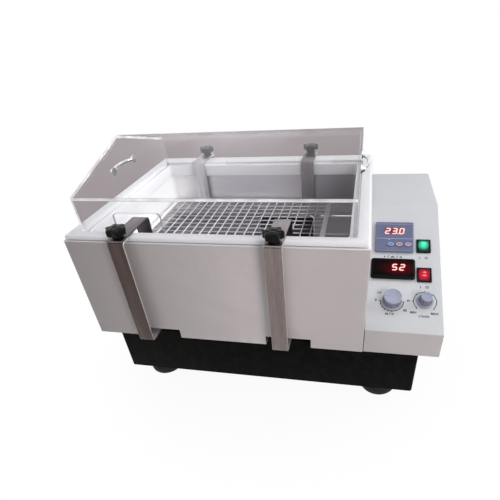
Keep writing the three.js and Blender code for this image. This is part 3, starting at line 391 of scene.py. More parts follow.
def coated(name, dark, light, worn, gloss, grain, bump, wear=0.3, dust=0.0, dusty=(190, 188, 184), coat=0.0,
           shine=0.5, ends=None):
    """Powder coat, enamel or moulded plastic: a skin over an even colour, with painted shade that may darken it towards
    its two ends.
    """
    material, tree, surface, where, tone = new_material(name, 7.0, 160.0)
    peel = place_group(tree, orange_peel, where, grain)
    rubbed = place_group(tree, edge_wear, where, wear)
    film = place_group(tree, settled_dust, where, dust)
    base = blend_colours(tree, tone["Patches"], dark, light)
    base = blend_colours(tree, rubbed["Mask"], base, worn)
    base = blend_colours(tree, film["Mask"], base, dusty)
    if ends:
        # painted shade: the colour darkens towards the left and right ends
        along = split(tree, where)["X"]
        for share, begin, stop in ((ends[0], -20 * MM, -330 * MM), (ends[1], 20 * MM, 170 * MM)):
            painted_end_shade = ramp(tree, along, begin, stop, soft=False)
            base = blend_colours(tree, painted_end_shade, base, [c * share for c in dark])
    rough = blend_values(tree, tone["Fine"], gloss - 0.04, gloss + 0.05)
    rough = blend_values(tree, film["Mask"], rough, 0.75)
    feed(tree, surface, {"Base Color": base, "Roughness": rough, "Coat Weight": coat, "Coat Roughness": 0.08,
                         "Specular IOR Level": shine})
    bumped(tree, surface, peel["Height"], bump, 0.12)
    return material


def brushed(name, dark, light, gloss, stretch, scale, bump, spots=0.0, shaded_end=None):
    """Metal with a drawn or brushed grain, with painted shade that may darken it towards its right end."""
    material, tree, surface, where, tone = new_material(name, 11.0, 90.0)
    grain = place_group(tree, brushed_grain, where, stretch, scale)
    base = blend_colours(tree, grain["Streaks"], dark, light)
    if spots:
        stain = reckon(tree, "MULTIPLY", tone["Patches"], spots)
        base = blend_colours(tree, stain, base, (150, 146, 140))
    if shaded_end:
        # painted shade: darker towards the right end
        dull = ramp(tree, split(tree, where)["X"], 45 * MM, 75 * MM)
        base = blend_colours(tree, dull, base, shaded_end)
    rough = blend_values(tree, grain["Streaks"], gloss + 0.06, gloss - 0.04)
    rough = blend_values(tree, tone["Patches"], rough, gloss + 0.03)
    feed(tree, surface, {"Base Color": base, "Metallic": 1.0, "Roughness": rough})
    bumped(tree, surface, grain["Height"], bump)
    return material


def lit(name, deep, bright, strength, reach, gloss=0.2, centre=(0, 0, 0), stretch=(1, 1, 1), core=0.3, shine=0.1):
    """A lamp's lens or a lit digit: it glows most near its centre and is plain plastic further out."""
    material, tree, surface, where, tone = new_material(name, 200.0, 900.0)
    from_middle = put(tree, "VectorMath", {0: where, 1: centre}, operation="SUBTRACT")[0]
    from_middle = put(tree, "VectorMath", {0: from_middle, 1: stretch}, operation="MULTIPLY")[0]
    far = put(tree, "VectorMath", {0: from_middle}, operation="LENGTH")["Value"]
    near = ramp(tree, far, 0.0, reach * MM, 1.0, 0.0)
    glow = blend_colours(tree, near, (0, 0, 0), bright)
    base = blend_colours(tree, tone["Patches"], deep, [min(255, c + 12) for c in deep])
    base = blend_colours(tree, near, base, [c * core for c in bright])
    rough = blend_values(tree, tone["Fine"], gloss - 0.05, gloss + 0.05)
    feed(tree, surface, {"Base Color": base, "Roughness": rough, "Emission Color": glow,
                         "Emission Strength": strength, "Specular IOR Level": shine})
    bumped(tree, surface, tone["Fine"], 0.05)
    return material


def bath_steel():
    """The bath: drawn stainless, with painted light making it near white at the left, and painted shade darkening it on
    the floor and at the right.
    """
    material, tree, surface, where, tone = new_material("bath stainless", 9.0, 120.0)
    grain = place_group(tree, brushed_grain, where, (1.0, 1.0, 14.0), 30.0)
    place = split(tree, where)
    # painted shadow: the floor, under the tray, is darkened
    floor = ramp(tree, place["Z"], 213 * MM, 250 * MM, 1.0, 0.0)
    # painted shade: the right part is darkened
    right = ramp(tree, place["X"], -60 * MM, 150 * MM)
    left = ramp(tree, place["X"], -225 * MM, -295 * MM)
    base = blend_colours(tree, grain["Streaks"], (204, 200, 206), (222, 219, 225))
    base = blend_colours(tree, right, base, (132, 128, 134))
    ground = blend_colours(tree, right, (94, 91, 99), (62, 60, 65))
    base = blend_colours(tree, floor, base, ground)
    # painted light: the left wall is made near white and less metallic, as the light falls on it
    scale = reckon(tree, "MULTIPLY", left, blend_values(tree, tone["Patches"], 0.9, 1.0))
    scale = reckon(tree, "MULTIPLY", scale, reckon(tree, "SUBTRACT", 1.0, floor))
    base = blend_colours(tree, scale, base, (255, 255, 255))
    feed(tree, surface, {"Base Color": base, "Metallic": blend_values(tree, scale, 1.0, 0.1),
                         "Roughness": blend_values(tree, grain["Streaks"], 0.44, 0.34)})
    bumped(tree, surface, grain["Height"], 0.08)
    return material


def plated():
    """Bright plating: it mirrors the pale room above, and where it faces down its colour is darkened, a painted
    reflection of a dark bench below.
    """
    material, tree, surface, where, tone = new_material("chrome", 60.0, 500.0)
    # painted reflection: darker where the surface faces down
    down = ramp(tree, split(tree, surface_shape(tree, "Normal"))["Z"], 0.45, -0.35)
    base = blend_colours(tree, tone["Patches"], (214, 214, 218), (240, 240, 243))
    base = blend_colours(tree, down, base, (74, 70, 74))
    rough = blend_values(tree, tone["Fine"], 0.06, 0.14)
    feed(tree, surface, {"Base Color": base, "Metallic": 1.0, "Roughness": rough})
    bumped(tree, surface, tone["Fine"], 0.03)
    return material


ACRYLIC_IOR = 1.49


def cast_acrylic(name, least, most):
    """Clear sheet: nearly invisible face on, denser at a slant, with scuffs and a soft dust."""
    material, tree, surface, where, tone = new_material(name, 6.0, 300.0)
    film = place_group(tree, settled_dust, where, 0.05, 9.0)
    base = blend_colours(tree, tone["Patches"], (226, 222, 226), (236, 233, 236))
    haze = ramp(tree, put(tree, "LayerWeight", {})["Facing"], 0.55, 1.0, least, most)
    haze = blend_values(tree, tone["Patches"], haze, least + 0.01)
    haze = blend_values(tree, film["Mask"], haze, 0.5)
    rough = blend_values(tree, tone["Patches"], 0.16, 0.26)
    feed(tree, surface, {"Base Color": base, "Alpha": haze, "Roughness": rough, "IOR": ACRYLIC_IOR,
                         "Specular IOR Level": 0.1})
    bumped(tree, surface, tone["Patches"], 0.02, 0.2)
    return material


def cut_acrylic(name, dark, light, thin, thick, glow):
    """The sawn and polished edge of the sheet, with a painted glow for the light that it gathers."""
    material, tree, surface, where, tone = new_material(name, 30.0, 800.0)
    base = blend_colours(tree, tone["Patches"], dark, light)
    feed(tree, surface, {"Base Color": base, "Emission Color": base, "Emission Strength": glow,
                         "Alpha": blend_values(tree, tone["Patches"], thin, thick),
                         "Roughness": blend_values(tree, tone["Fine"], 0.12, 0.24), "IOR": ACRYLIC_IOR})
    bumped(tree, surface, tone["Fine"], 0.08)
    return material


# ---- paints, plastics, metals, clear sheet and lamps

def powder_coat(name, dark, light, worn, **more):
    return coated(name, dark, light, worn, 0.42, 620, 0.22, 0.5, 0.06, **more)


def rolled(name, dark, light, gloss):
    """Rolled strip, for straps and hangers."""
    return brushed(name, dark, light, gloss, (14, 1, 1), 34, 0.08)


# the front's two ends are darkened with painted shade
cream_paint = powder_coat("cream powder coat", (208, 200, 200), (215, 207, 207), (230, 226, 226), ends=(0.84, 0.95))
# a darker copy of the cream paint: painted shade on the control box's front lip
shaded_lip_paint = powder_coat("cream powder coat, front lip, painted shade", (192, 186, 186), (199, 193, 193), (222, 218, 218))
pale_paint = powder_coat("pale powder coat", (209, 212, 216), (215, 218, 222), (228, 229, 230))
black_paint = coated("black powder coat", (10, 10, 10), (14, 14, 13), (52, 51, 50), 0.5, 900, 0.3, 0.5, 0.02,
                     (60, 60, 60), shine=0.03)
white_plastic = coated("white collar plastic", (245, 245, 250), (251, 251, 254), (246, 246, 247), 0.34, 420, 0.1,
                       dust=0.04, coat=0.1)
black_plastic = coated("black plastic", (11, 10, 12), (17, 16, 18), (48, 47, 50), 0.34, 800, 0.14,
                       dust=0.02, dusty=(60, 60, 62), shine=0.08)
gloss_black = coated("gloss black knob", (2, 2, 3), (4, 4, 5), (24, 24, 26), 0.13, 160, 0.7, shine=0.12)
slate_plastic = coated("slate plastic", (112, 120, 146), (122, 130, 156), (156, 162, 182), 0.36, 900, 0.12, 0.4, 0.03)
slate_label = coated("slate label film", (103, 110, 141), (111, 118, 149), (140, 146, 172), 0.4, 1400, 0.06, 0.2,
                     shine=0.12)
divider_ink = coated("pale blue print", (142, 154, 184), (156, 168, 198), (180, 190, 210), 0.4, 1500, 0.05, 0.2)
silver_plastic = coated("silver blue plastic", (155, 163, 185), (165, 173, 194), (200, 205, 216), 0.3, 900, 0.1,
                        0.4, 0.02, shine=0.4)
knob_side = coated("silver blue plastic, grooved", (112, 116, 134), (128, 131, 148), (188, 192, 204), 0.34, 900,
                   0.1, 0.6, 0.02, shine=0.3)
rubber = coated("black rubber", (16, 16, 16), (24, 23, 23), (52, 51, 50), 0.62, 1100, 0.35, 0.4, 0.08,
                (74, 72, 68), shine=0.25)
belt_rubber = coated("belt rubber", (20, 20, 21), (28, 28, 28), (52, 52, 52), 0.6, 1500, 0.5,
                     dust=0.05, dusty=(70, 70, 68))
blue_key = coated("blue key", (94, 104, 140), (104, 114, 150), (130, 160, 205), 0.32, 1200, 0.1)
blue_ink = coated("pale blue ring", (120, 170, 222), (136, 186, 234), (170, 204, 240), 0.32, 1200, 0.1)
pink_key = coated("mauve key", (104, 104, 136), (114, 114, 146), (180, 160, 190), 0.32, 1200, 0.1)
pink_ink = coated("pale pink ring", (226, 176, 200), (240, 192, 212), (236, 210, 226), 0.32, 1200, 0.1)
legend_ink = coated("legend ink", (14, 15, 20), (24, 26, 32), (60, 62, 68), 0.5, 1500, 0.1)
# a pale matt copy for the top of the strap foot, which lies in shade under the body: painted light
painted_light_foot = coated("strap foot, painted light", (176, 172, 171), (190, 186, 185), (214, 210, 208), 0.5, 500, 0.15, 0.4, 0.1)

tank_steel = bath_steel()
# the straps' dark brown colour paints the reflection of a dark room in front of them
strap_steel = rolled("strap stainless", (108, 97, 95), (136, 125, 122), 0.26)
# a darker copy for the front left strap: painted shade
shaded_strap = rolled("strap stainless, painted shade", (69, 58, 55), (89, 77, 74), 0.3)
hanger_steel = rolled("hanger stainless", (132, 124, 126), (160, 152, 154), 0.28)
# darker and lighter copies of the hanger steel for some corners: painted shade and painted light
shaded_hanger = rolled("hanger stainless, painted shade", (98, 91, 93), (122, 115, 117), 0.3)
painted_light_hanger = rolled("hanger stainless, painted light", (150, 146, 151), (200, 196, 202), 0.3)
# a near-white copy for the straps' side edges: painted highlight
strap_edge_highlight = brushed("strap edge, painted highlight", (214, 210, 212), (240, 238, 240), 0.42, (6, 6, 1), 60, 0.04)
sheath = brushed("heater sheath", (62, 60, 64), (84, 82, 86), 0.42, (1, 8, 1), 60, 0.08, 0.3)
plain_steel = brushed("zinc plated steel", (150, 150, 152), (182, 182, 184), 0.36, (1, 6, 1), 50, 0.1, 0.3)
rod_steel = brushed("ground rod steel", (176, 177, 180), (214, 214, 216), 0.16, (1, 16, 16), 60, 0.06)
# the long wires take a brighter copy, painted light, and the cross wires a darker one, painted shade; both get painted
# shade at the right end
wire_steel = brushed("wire, painted light", (244, 242, 244), (255, 254, 255), 0.34, (3, 1, 3), 160, 0.06,
                     shaded_end=(150, 146, 152))
cross_steel = brushed("wire, painted shade", (172, 168, 176), (204, 200, 208), 0.34, (1, 3, 3), 160, 0.06,
                      shaded_end=(100, 96, 102))
chrome = plated()
brass = brushed("brass", (176, 138, 74), (206, 168, 98), 0.26, (1, 1, 8), 80, 0.08, 0.2)

clear_sheet = cast_acrylic("clear acrylic", 0.018, 0.42)
# hazier copies, for the front and right panes
hazy_sheet = cast_acrylic("clear acrylic, hazier", 0.09, 0.5)
milky_sheet = cast_acrylic("clear acrylic, haziest", 0.12, 0.85)
# a near-white copy with a painted glow, for the edges in the light
lit_sheet_edge = cut_acrylic("acrylic edge", (230, 227, 230), (248, 245, 248), 0.5, 0.85, 0.3)
sheet_arris = cut_acrylic("acrylic arris", (158, 156, 160), (186, 184, 188), 0.7, 0.95, 0.05)
sheet_faint = cut_acrylic("acrylic edge in shade", (196, 194, 198), (216, 214, 218), 0.08, 0.2, 0)

# the sloping panel: its lower left corner, and how far it runs back and rises from there
slope_corner, slope_run, slope_rise = (204, -230, 193), 266, 122
slope_turn = moved(*slope_corner) @ Matrix.Rotation(math.atan2(slope_rise, slope_run), 4, "X")


def on_panel(across, up, out):
    """A place on the sloping panel, in metres."""
    return tuple(slope_turn @ at(across, up, out))


# how far a glow reaches from the origin, in mm: hardly to the panel, or far past it
NO_GLOW, ALL_GLOW = 400, 4000
green_lens = lit("green lens", (0, 58, 40), (74, 255, 206), 0.98, 13.5, centre=on_panel(102, 189, 4))
red_lens = lit("red lens", (104, 2, 24), (252, 28, 80), 0.75, 16, centre=on_panel(102, 121, 4))
neon = lit("neon behind the lens", (255, 150, 90), (255, 190, 130), 1.0, NO_GLOW)
green_neon = lit("green lamp behind the lens", (120, 255, 214), (130, 255, 218), 0.9, NO_GLOW)
status_lamp = lit("status lamp", (200, 150, 190), (255, 240, 250), 0.9, NO_GLOW)
lit_digit = lit("lit digit", (255, 196, 186), (255, 228, 220), 1.0, ALL_GLOW)
digit_halo = lit("glow round a lit digit", (196, 16, 34), (226, 34, 52), 0.9, ALL_GLOW)
# the unlit digits get a faint painted glow
dim_digit = lit("unlit digit, painted faint glow", (34, 4, 8), (50, 4, 9), 0.6, ALL_GLOW, shine=0.02)
controller_glass = lit("controller window", (102, 109, 141), (128, 8, 34), 0.55, 13, 0.4, on_panel(46, 219, 6),
                       (0.5, 1, 1), 0.4)
meter_glass = lit("meter window", (5, 1, 3), (120, 3, 9), 0.55, 20, 0.3, on_panel(57, 131, 5), (0.5, 1, 1), 0.1, 0.02)

corners = [front_back + "_" + left_right for front_back in ("front", "rear") for left_right in ("left", "right")]


# ---- painted body, collar and bath

dressed("body_shell", cream_paint, "housing", 0.45)
control_box = dressed("control_box", pale_paint, "housing", 1.0, 4, 15, 20)
# faces that look forward take the darker copy: painted shade
control_box.data.materials.append(shaded_lip_paint)   # for what faces forward
for face in control_box.data.polygons:
    if face.normal.y < -0.8:
        face.material_index = 1
dressed("base_housing", black_paint, "housing", 0.8)
dressed("base_plate", black_paint, "housing", 0.5, 2, 35)
dressed("rim", white_plastic, "housing", 2.2, 5)
dressed("bath_tank", tank_steel, "housing", 0.8, 4)

# the collar's lip, which lies on the body's upper edge all round
lip = block("rim_lip", (-335.7, -229.7, 350.9), (203.7, 229.7, 352.3))
cut_out(lip, block("hole", (-331, -225, 300), (199, 225, 400)))
finish(soften(round_edges(lip, 0.5)), white_plastic)


# ---- feet

foot = turned("foot", [(0, 0), (22, 0), (27, 0), (30.5, 0.8), (33.4, 3), (35.3, 6), (36, 9.5), (36, 16), (35.4, 19.5),
                       (33, 23), (30.4, 25.6), (30, 27), (30, 30), (0, 30)], 64)
for name in corners:
    low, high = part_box("foot_" + name)
    middle = (low + high) / 2 / MM
    one = duplicate(foot, "foot_" + name + "_turned", (middle.x, middle.y, 0))
    finish(one, rubber, "housing", "foot_" + name)
bpy.data.objects.remove(foot)


# ---- wire tray

tray_x, tray_y, strip = (-296, 114), (-144, 167), 11
strip_low, strip_high, cross_wire_height, cutter_spare = 268, 271, 267.8, 50
frame_strip = block("tray_frame", (tray_x[0], tray_y[0], strip_low), (tray_x[1], tray_y[1], strip_high))
cut_out(frame_strip, block("window", (tray_x[0] + strip, tray_y[0] + strip, strip_low - cutter_spare),
                           (tray_x[1] - strip, tray_y[1] - strip, strip_high + cutter_spare)))
finish(soften(round_edges(frame_strip, 0.7)), wire_steel, "carriage", "tray")


def evenly(low, high, count):
    return [low + (high - low) * (i + 1) / (count + 1) for i in range(count)]


def wires(name, along, count, height, material):
    """A layer of wires, each from the middle of one strip to the middle of the other."""
    ends, beside = (tray_y, tray_x) if along == "Y" else (tray_x, tray_y)
    length, middle = ends[1] - ends[0] - strip, (ends[0] + ends[1]) / 2
    rod = round_bar(name + "_one", 1.5, -length / 2, length / 2, 12, 0.5)
    turn = swung(90, "X" if along == "Y" else "Y")
    row = []
    for place in evenly(beside[0] + strip, beside[1] - strip, count):
        centre = (place, middle, height) if along == "Y" else (middle, place, height)
        row.append(duplicate(rod, name, centre, turn))
    bpy.data.objects.remove(rod)
    return finish(soften(weld_together(name, row), 50), material, "carriage", "tray")


wires("tray_long_wires", "Y", 18, strip_high, wire_steel)
wires("tray_cross_wires", "X", 13, cross_wire_height, cross_steel)


# ---- straps, hangers and star knobs

def star_knob(name):
    """Six round lobes with soft edges, and a low dome that steps up to the middle."""
    radius, lobes = 16.6, 6
    knob = disc(name, radius, 96)
    open_up(knob)
    draw_out(0, 0, 12.2)
    close_up()
    for point in knob.data.vertices:
        angle = math.atan2(point.co.y, point.co.x)
        wave = math.cos(lobes * angle)
        reach = (radius + 1.3 * wave - (1 - wave) / 2) * MM
        point.co.x, point.co.y = reach * math.cos(angle), reach * math.sin(angle)
    face_out(knob)
    round_edges(knob, 2.4, 5, 60)
    open_up(knob)
    pick_faces(knob, lambda face: face.normal.z > 0.99 and len(face.verts) > 20)
    for rise, share in ((0.0, 0.62), (0.5, 0.82), (0.0, 0.7), (-0.6, 0.8)):
        draw_out(0, 0, rise)
        bpy.ops.transform.resize(value=(share, share, 1), center_override=(0, 0, 0))
    close_up()
    return soften(knob, 40)


knob_model = star_knob("star")
collar_model = turned("collar", [(0, -6), (9, -6), (10, -5.2), (10, 0.5), (9.4, 1.2), (0, 1.2)], 40)
knob_drop, strap_foot_below = 13, 200 * MM
strap_looks = {"front_left": shaded_strap}
hanger_looks = {"rear_left": painted_light_hanger, "rear_right": shaded_hanger, "front_left": shaded_hanger}
for name in corners:
    low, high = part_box("clamp_knob_" + name)
    middle = (low + high) / 2 / MM
    top = (middle.x, middle.y, high.z / MM - knob_drop)
    head = duplicate(knob_model, "star_head_" + name, top)
    collar = duplicate(collar_model, "star_collar_" + name, top)
    stud = round_bar("star_stud_" + name, 4, 0, 19, 24, 0.6)
    stud.data.transform(moved(middle.x, middle.y, low.z / MM))
    for piece, material, slot in ((head, gloss_black, "black_plastic"), (collar, gloss_black, "black_plastic"),
                                  (soften(stud), plain_steel, "steel")):
        finish(piece, material, "clamp_" + name, "clamp_knob_" + name)
    strap = dressed("strap_" + name, strap_looks.get(name, strap_steel), "carriage", 0.5)
    # the side edges take the painted highlight
    strap.data.materials.append(strap_edge_highlight)   # for the cut edges
    # the top of the foot takes the painted light
    strap.data.materials.append(painted_light_foot)   # for the top of the foot
    for face in strap.data.polygons:
        if abs(face.normal.x) > 0.4:
            face.material_index = 1
        elif face.normal.z > 0.7 and face.center.z < strap_foot_below:
            face.material_index = 2
    dressed("hanger_" + name, hanger_looks.get(name, hanger_steel), "carriage", 0.5)
bpy.data.objects.remove(knob_model)
bpy.data.objects.remove(collar_model)


# ---- clear lid

def lid_pane(node):
    """Broad faces are clear, the cut edges in the light bright, the arrises dark and the other edges faint."""
    broad, sliver = 0.01, 0.00022   # in square metres
    bright_above, faint_below, front_half, square = 405, 363, 100, 0.97
    sheet = {"lid_front": hazy_sheet, "lid_right": milky_sheet}.get(node, clear_sheet)
    piece = dressed(node, sheet, "lid", 0.35, 2, 40)
    for material in (lit_sheet_edge, sheet_arris, sheet_faint):
        piece.data.materials.append(material)
    for face in piece.data.polygons:
        middle, facing = face.center / MM, face.normal
        straight = max(abs(part) for part in facing) > square or node == "lid_roof"
        lighted = middle.y < front_half and (middle.z > bright_above or abs(facing.x) > square)
        if face.area > broad:
            face.material_index = 0
        elif middle.z < faint_below:
            face.material_index = 3
        elif face.area < sliver:
            face.material_index = 2 if middle.y < front_half else 3
        else:
            face.material_index = 1 if straight and lighted else 3


for node in ("lid_front", "lid_back", "lid_left", "lid_right", "lid_roof"):
    lid_pane(node)


def lid_handle(node, side):
    """A bow of round bar on two turned feet."""
    from_outside, from_ends, crest, bend, in_foot = 4, 8, 38, 16, 7
    low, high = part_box(node)
    wall = (low.x if side > 0 else high.x) / MM
    y0, y1, z = low.y / MM + from_ends, high.y / MM - from_ends, (low.z + high.z) / 2 / MM
    out = (high.x - low.x) / MM - from_outside
    run = (y1 - y0 - crest) / 2
    lean = math.atan2(out, run)
    radius = bend / math.tan(lean / 2)
    leg = math.hypot(out, run) - bend
    ahead = Vector((side * math.sin(lean), math.cos(lean), 0))
    inward = Vector((-side * math.cos(lean), math.sin(lean), 0))
    base = Vector((wall, y0, z))
    first = base + ahead * leg + inward * radius
    second = Vector((wall + side * out - side * radius, y1 - run - bend, z))
    leave = Vector((-side * math.sin(lean), math.cos(lean), 0)) * (leg - in_foot)
    bar = disc(node + "_bar", 3.3, 24, base + ahead * in_foot, (math.pi / 2, 0, -side * lean))
    turn = math.degrees(lean) * side
    bent(bar, [("go", ahead * (leg - in_foot)), ("turn", turn, first, (0, 0, 1)),
               ("go", (0, crest - 2 * bend, 0)), ("turn", turn, second, (0, 0, 1)), ("go", leave)], 14)
    parts = [bar]
    for y in (y0, y1):
        foot = turned("foot", [(0, 0), (8, 0), (8, 1.0), (7.2, 2), (6.2, 2.6), (5.4, 4), (4.9, 6), (3.6, 7.4),
                               (0, 7.8)], 32)
        foot.data.transform(moved(wall, y, z) @ swung(side * 90, "Y"))
        parts.append(foot)
    finish(soften(weld_together(node + "_bright", parts), 50), chrome, "lid", node)


lid_handle("lid_handle_left", -1)
lid_handle("lid_handle_right", 1)


# ---- instruments on the sloping panel

def on_slope(piece, across, up, out=0.0, turn=0.0):
    piece.data.transform(slope_turn @ moved(across, up, out) @ swung(turn))
    return piece


def panel_span(node):
    """The lowest and highest corners of a CAD node in the panel's own directions, in mm."""
    back = slope_turn.inverted()
    places = [back @ point.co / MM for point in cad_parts[node].data.vertices]
    return [(min(p[i] for p in places), max(p[i] for p in places)) for i in range(3)]


def lettering(name, words, size, across, up, spacing=1.0):
    label = fresh(name, bpy.ops.object.text_add)
    for setting, value in (("body", words), ("size", size * MM), ("align_x", "CENTER"), ("align_y", "CENTER"),
                           ("extrude", 0.03 * MM), ("offset", 0.035 * size * MM), ("space_character", spacing),
                           ("resolution_u", 3)):
        setattr(label.data, setting, value)
    bpy.ops.object.convert(target="MESH")
    label = face_out(settle(bpy.context.object))
    finish(on_slope(label, across, up, 0.04), legend_ink)


def bar_mark(name, length, width, thick):
    return block(name, (-length / 2, -width / 2, 0), (length / 2, width / 2, thick))


def dial_print(name, across, up, radius, start, sweep, ticks, width):
    """A printed arc about a knob and its ticks, in degrees from across."""
    arc = fresh(name + "_arc", bpy.ops.mesh.primitive_plane_add, size=MM, location=at(radius, 0, 0.04),
                rotation=(math.pi / 2, 0, 0))
    arc.scale = (width, 0.08, 1)
    bent(settle(arc), [("turn", sweep, (0, 0, 0), (0, 0, 1))], int(sweep / 6))
    arc.data.transform(swung(start))
    parts = [arc]
    for angle in ticks:
        tick = bar_mark(name + "_tick", 3.2, 1.4, 0.08)
        tick.data.transform(swung(angle) @ moved(radius + 1.0, 0))
        parts.append(tick)
    finish(on_slope(weld_together(name, parts), across, up, 0.02), legend_ink)


# where each bar of a digit lies, in halves of its width and height, and its turn
STROKES = {"a": (0, 1, 0), "g": (0, 0, 0), "d": (0, -1, 0), "b": (1, 0.5, 90), "c": (1, -0.5, 90), "f": (-1, 0.5, 90),
           "e": (-1, -0.5, 90)}
DIGITS = {"0": "abcdef", "2": "abged", "3": "abgcd", "5": "afgcd", "8": "abcdefg"}


def seven_segment(name, digit, width, height, stroke):
    """One digit of a display, its bars pointed at both ends, leaning as such digits do."""
    bars = []
    for key in DIGITS[digit]:
        sideways, upwards, turn = STROKES[key]
        length = (width if turn == 0 else height / 2) - 0.5
        bar = fresh("bar", bpy.ops.mesh.primitive_plane_add, size=MM)
        bar.scale = (length + stroke * 0.5, stroke, 1)
        settle(bar)
        open_up(bar, "VERT")
        bpy.ops.mesh.bevel(offset=stroke * 0.45 * MM, affect="VERTICES")
        close_up()
        thicken(bar, 0.1)
        bar.data.transform(moved(sideways * width / 2, upwards * height / 2) @ swung(turn))
        bars.append(bar)
    slant = Matrix()
    slant[0][1] = math.tan(math.radians(9))
    whole = weld_together(name, bars)
    whole.data.transform(slant)
    return whole


def show_number(name, places, up, height, stroke, out, material):
    width, parts = 7.2, []
    for digit, across in places:
        one = seven_segment(name + "_" + digit, digit, width, height, stroke)
        one.data.transform(moved(across, 0))
        parts.append(one)
    finish(on_slope(weld_together(name, parts), 0, up, out), material)


# controller: slate case, printed film, window, digits, lamp and keys
dressed("temperature_controller", slate_plastic, "housing", 0.5)
face = panel_span("temperature_controller")[2][1]
film_face = face + 0.12
film = block("controller_film", (14.5, 172.5, face), (81.5, 239.5, film_face))
window_low, window_high = (22, 207), (74, 233)
cut_out(film, block("hole", (*window_low, 0), (*window_high, 10)))
for across in (40.5, 56.8, 73.1):
    hole = round_bar("hole", 1, 0, 10, 40)
    hole.data.transform(moved(across, 185.5) @ Matrix.Diagonal((6.9, 5.2, 1, 1)))
    cut_out(film, hole)
finish(on_slope(film, 0, 0), slate_label)
pane = block("controller_window_pane", (*window_low, face - 1), (*window_high, face + 0.1), 0.05, 2)
finish(on_slope(pane, 0, 0), controller_glass)
temperature = (("2", 35.2), ("3", 48.2), ("0", 61.6))
show_number("temperature_glow", temperature, 218.5, 12.8, 4.4, face + 0.04, digit_halo)
show_number("temperature_digits", temperature, 218.5, 12.8, 2.5, face + 0.11, lit_digit)
point = turned("temperature_point", [(0, 0), (1.3, 0), (1.3, 0.1), (0, 0.12)], 20)
finish(on_slope(point, 54.2, 211.6, face + 0.11), lit_digit)
finish(on_slope(bar_mark("controller_divider", 67, 1.5, 0.06), 48, 200, film_face), divider_ink)
finish(on_slope(bar_mark("controller_top_line", 64, 0.9, 0.06), 48, 236, film_face), divider_ink)
lamp = turned("controller_lamp", [(0, 0), (1.5, 0), (1.5, 0.3), (1.1, 0.8), (0.5, 1.05), (0, 1.1)], 24)
finish(on_slope(lamp, 38, 197, face + 0.1), status_lamp)


def key_cap(node, material, ink, mark_sides, mark_turn):
    """A press key with a printed ring and a mark on its face."""
    dressed(node, material, node, 0.5, 3, 40)
    across, up, out = panel_span(node)
    ring = disc(node + "_ring", 1, 40)
    ring.scale = ((across[1] - across[0]) / 2 - 0.7, (up[1] - up[0]) / 2 - 0.7, 1)
    settle(ring)
    open_up(ring)
    bpy.ops.mesh.inset(thickness=1.25 * MM)
    bpy.ops.mesh.delete(type="FACE")
    close_up()
    mark = disc(node + "_mark", 1.4, mark_sides, turn=(0, 0, math.radians(mark_turn)))
    marks = weld_together(node + "_print", [thicken(ring, 0.08), thicken(mark, 0.08)])
    finish(on_slope(marks, sum(across) / 2, sum(up) / 2, out[1]), ink, node)


key_cap("set_key", blue_key, blue_ink, 4, 0)
key_cap("lower_key", pink_key, pink_ink, 3, 180)
key_cap("raise_key", pink_key, pink_ink, 3, 0)

# speed meter: black bezel, dark red window, two lit digits beside two unlit ones
dressed("speed_meter", black_plastic, "housing", 0.6)
face = panel_span("speed_meter")[2][1]
window_low, window_high = (17.1, 119.1), (74.9, 142.9)
pane = block("meter_window_pane", (*window_low, face - 1.0), (*window_high, face - 0.3), 0.05, 2)
finish(on_slope(pane, 0, 0), meter_glass)
surround = block("meter_window_surround", (10, 112.5, face - 0.02), (82, 149.5, face + 0.12), 0.05, 2)
cut_out(surround, block("hole", (*window_low, face - 2), (*window_high, face + 2)))
finish(on_slope(surround, 0, 0), meter_glass)
speed = (("5", 49.0), ("2", 62.4))
show_number("speed_glow", speed, 133, 12.4, 4.0, face - 0.36, digit_halo)
show_number("speed_digits", speed, 133, 12.4, 2.3, face - 0.29, lit_digit)
show_number("speed_digits_unlit", (("8", 22.6), ("8", 35.8)), 133, 12.4, 2.0, face - 0.29, dim_digit)
lettering("meter_unit", "r/min", 8.4, 46, 161, 1.9)


def glow_spot(name, rocker, across, up, width, height, material):
    """The lamp that shows through the middle of a rocker, set in its face."""
    spot = turned(name, [(0, 0), (0.85, 0), (1, 0.06), (0.8, 0.14), (0, 0.2)], 28)
    spot.data.transform(Matrix.Diagonal((width, height, 1, 1)))
    finish(on_slope(spot, across, up, panel_span(rocker)[2][1] - 0.9), material, rocker)


def rocker_switch(rocker, around, lens, words_up):
    dressed(around, black_plastic, "housing", 0.5)
    dressed(rocker, lens, rocker, 1.2, 5)
    lettering(around + "_off_on", "I    O", 7.0, sum(panel_span(around)[0]) / 2, words_up)


rocker_switch("power_rocker", "power_switch_frame", green_lens, 160)
rocker_switch("shake_rocker", "shake_switch_frame", red_lens, 95)
glow_spot("power_glow", "power_rocker", 102, 192, 5.0, 3.2, green_neon)
glow_spot("shake_glow_upper", "shake_rocker", 102.6, 125.5, 3.2, 1.8, neon)
glow_spot("shake_glow_lower", "shake_rocker", 102.0, 118.5, 3.6, 1.8, neon)


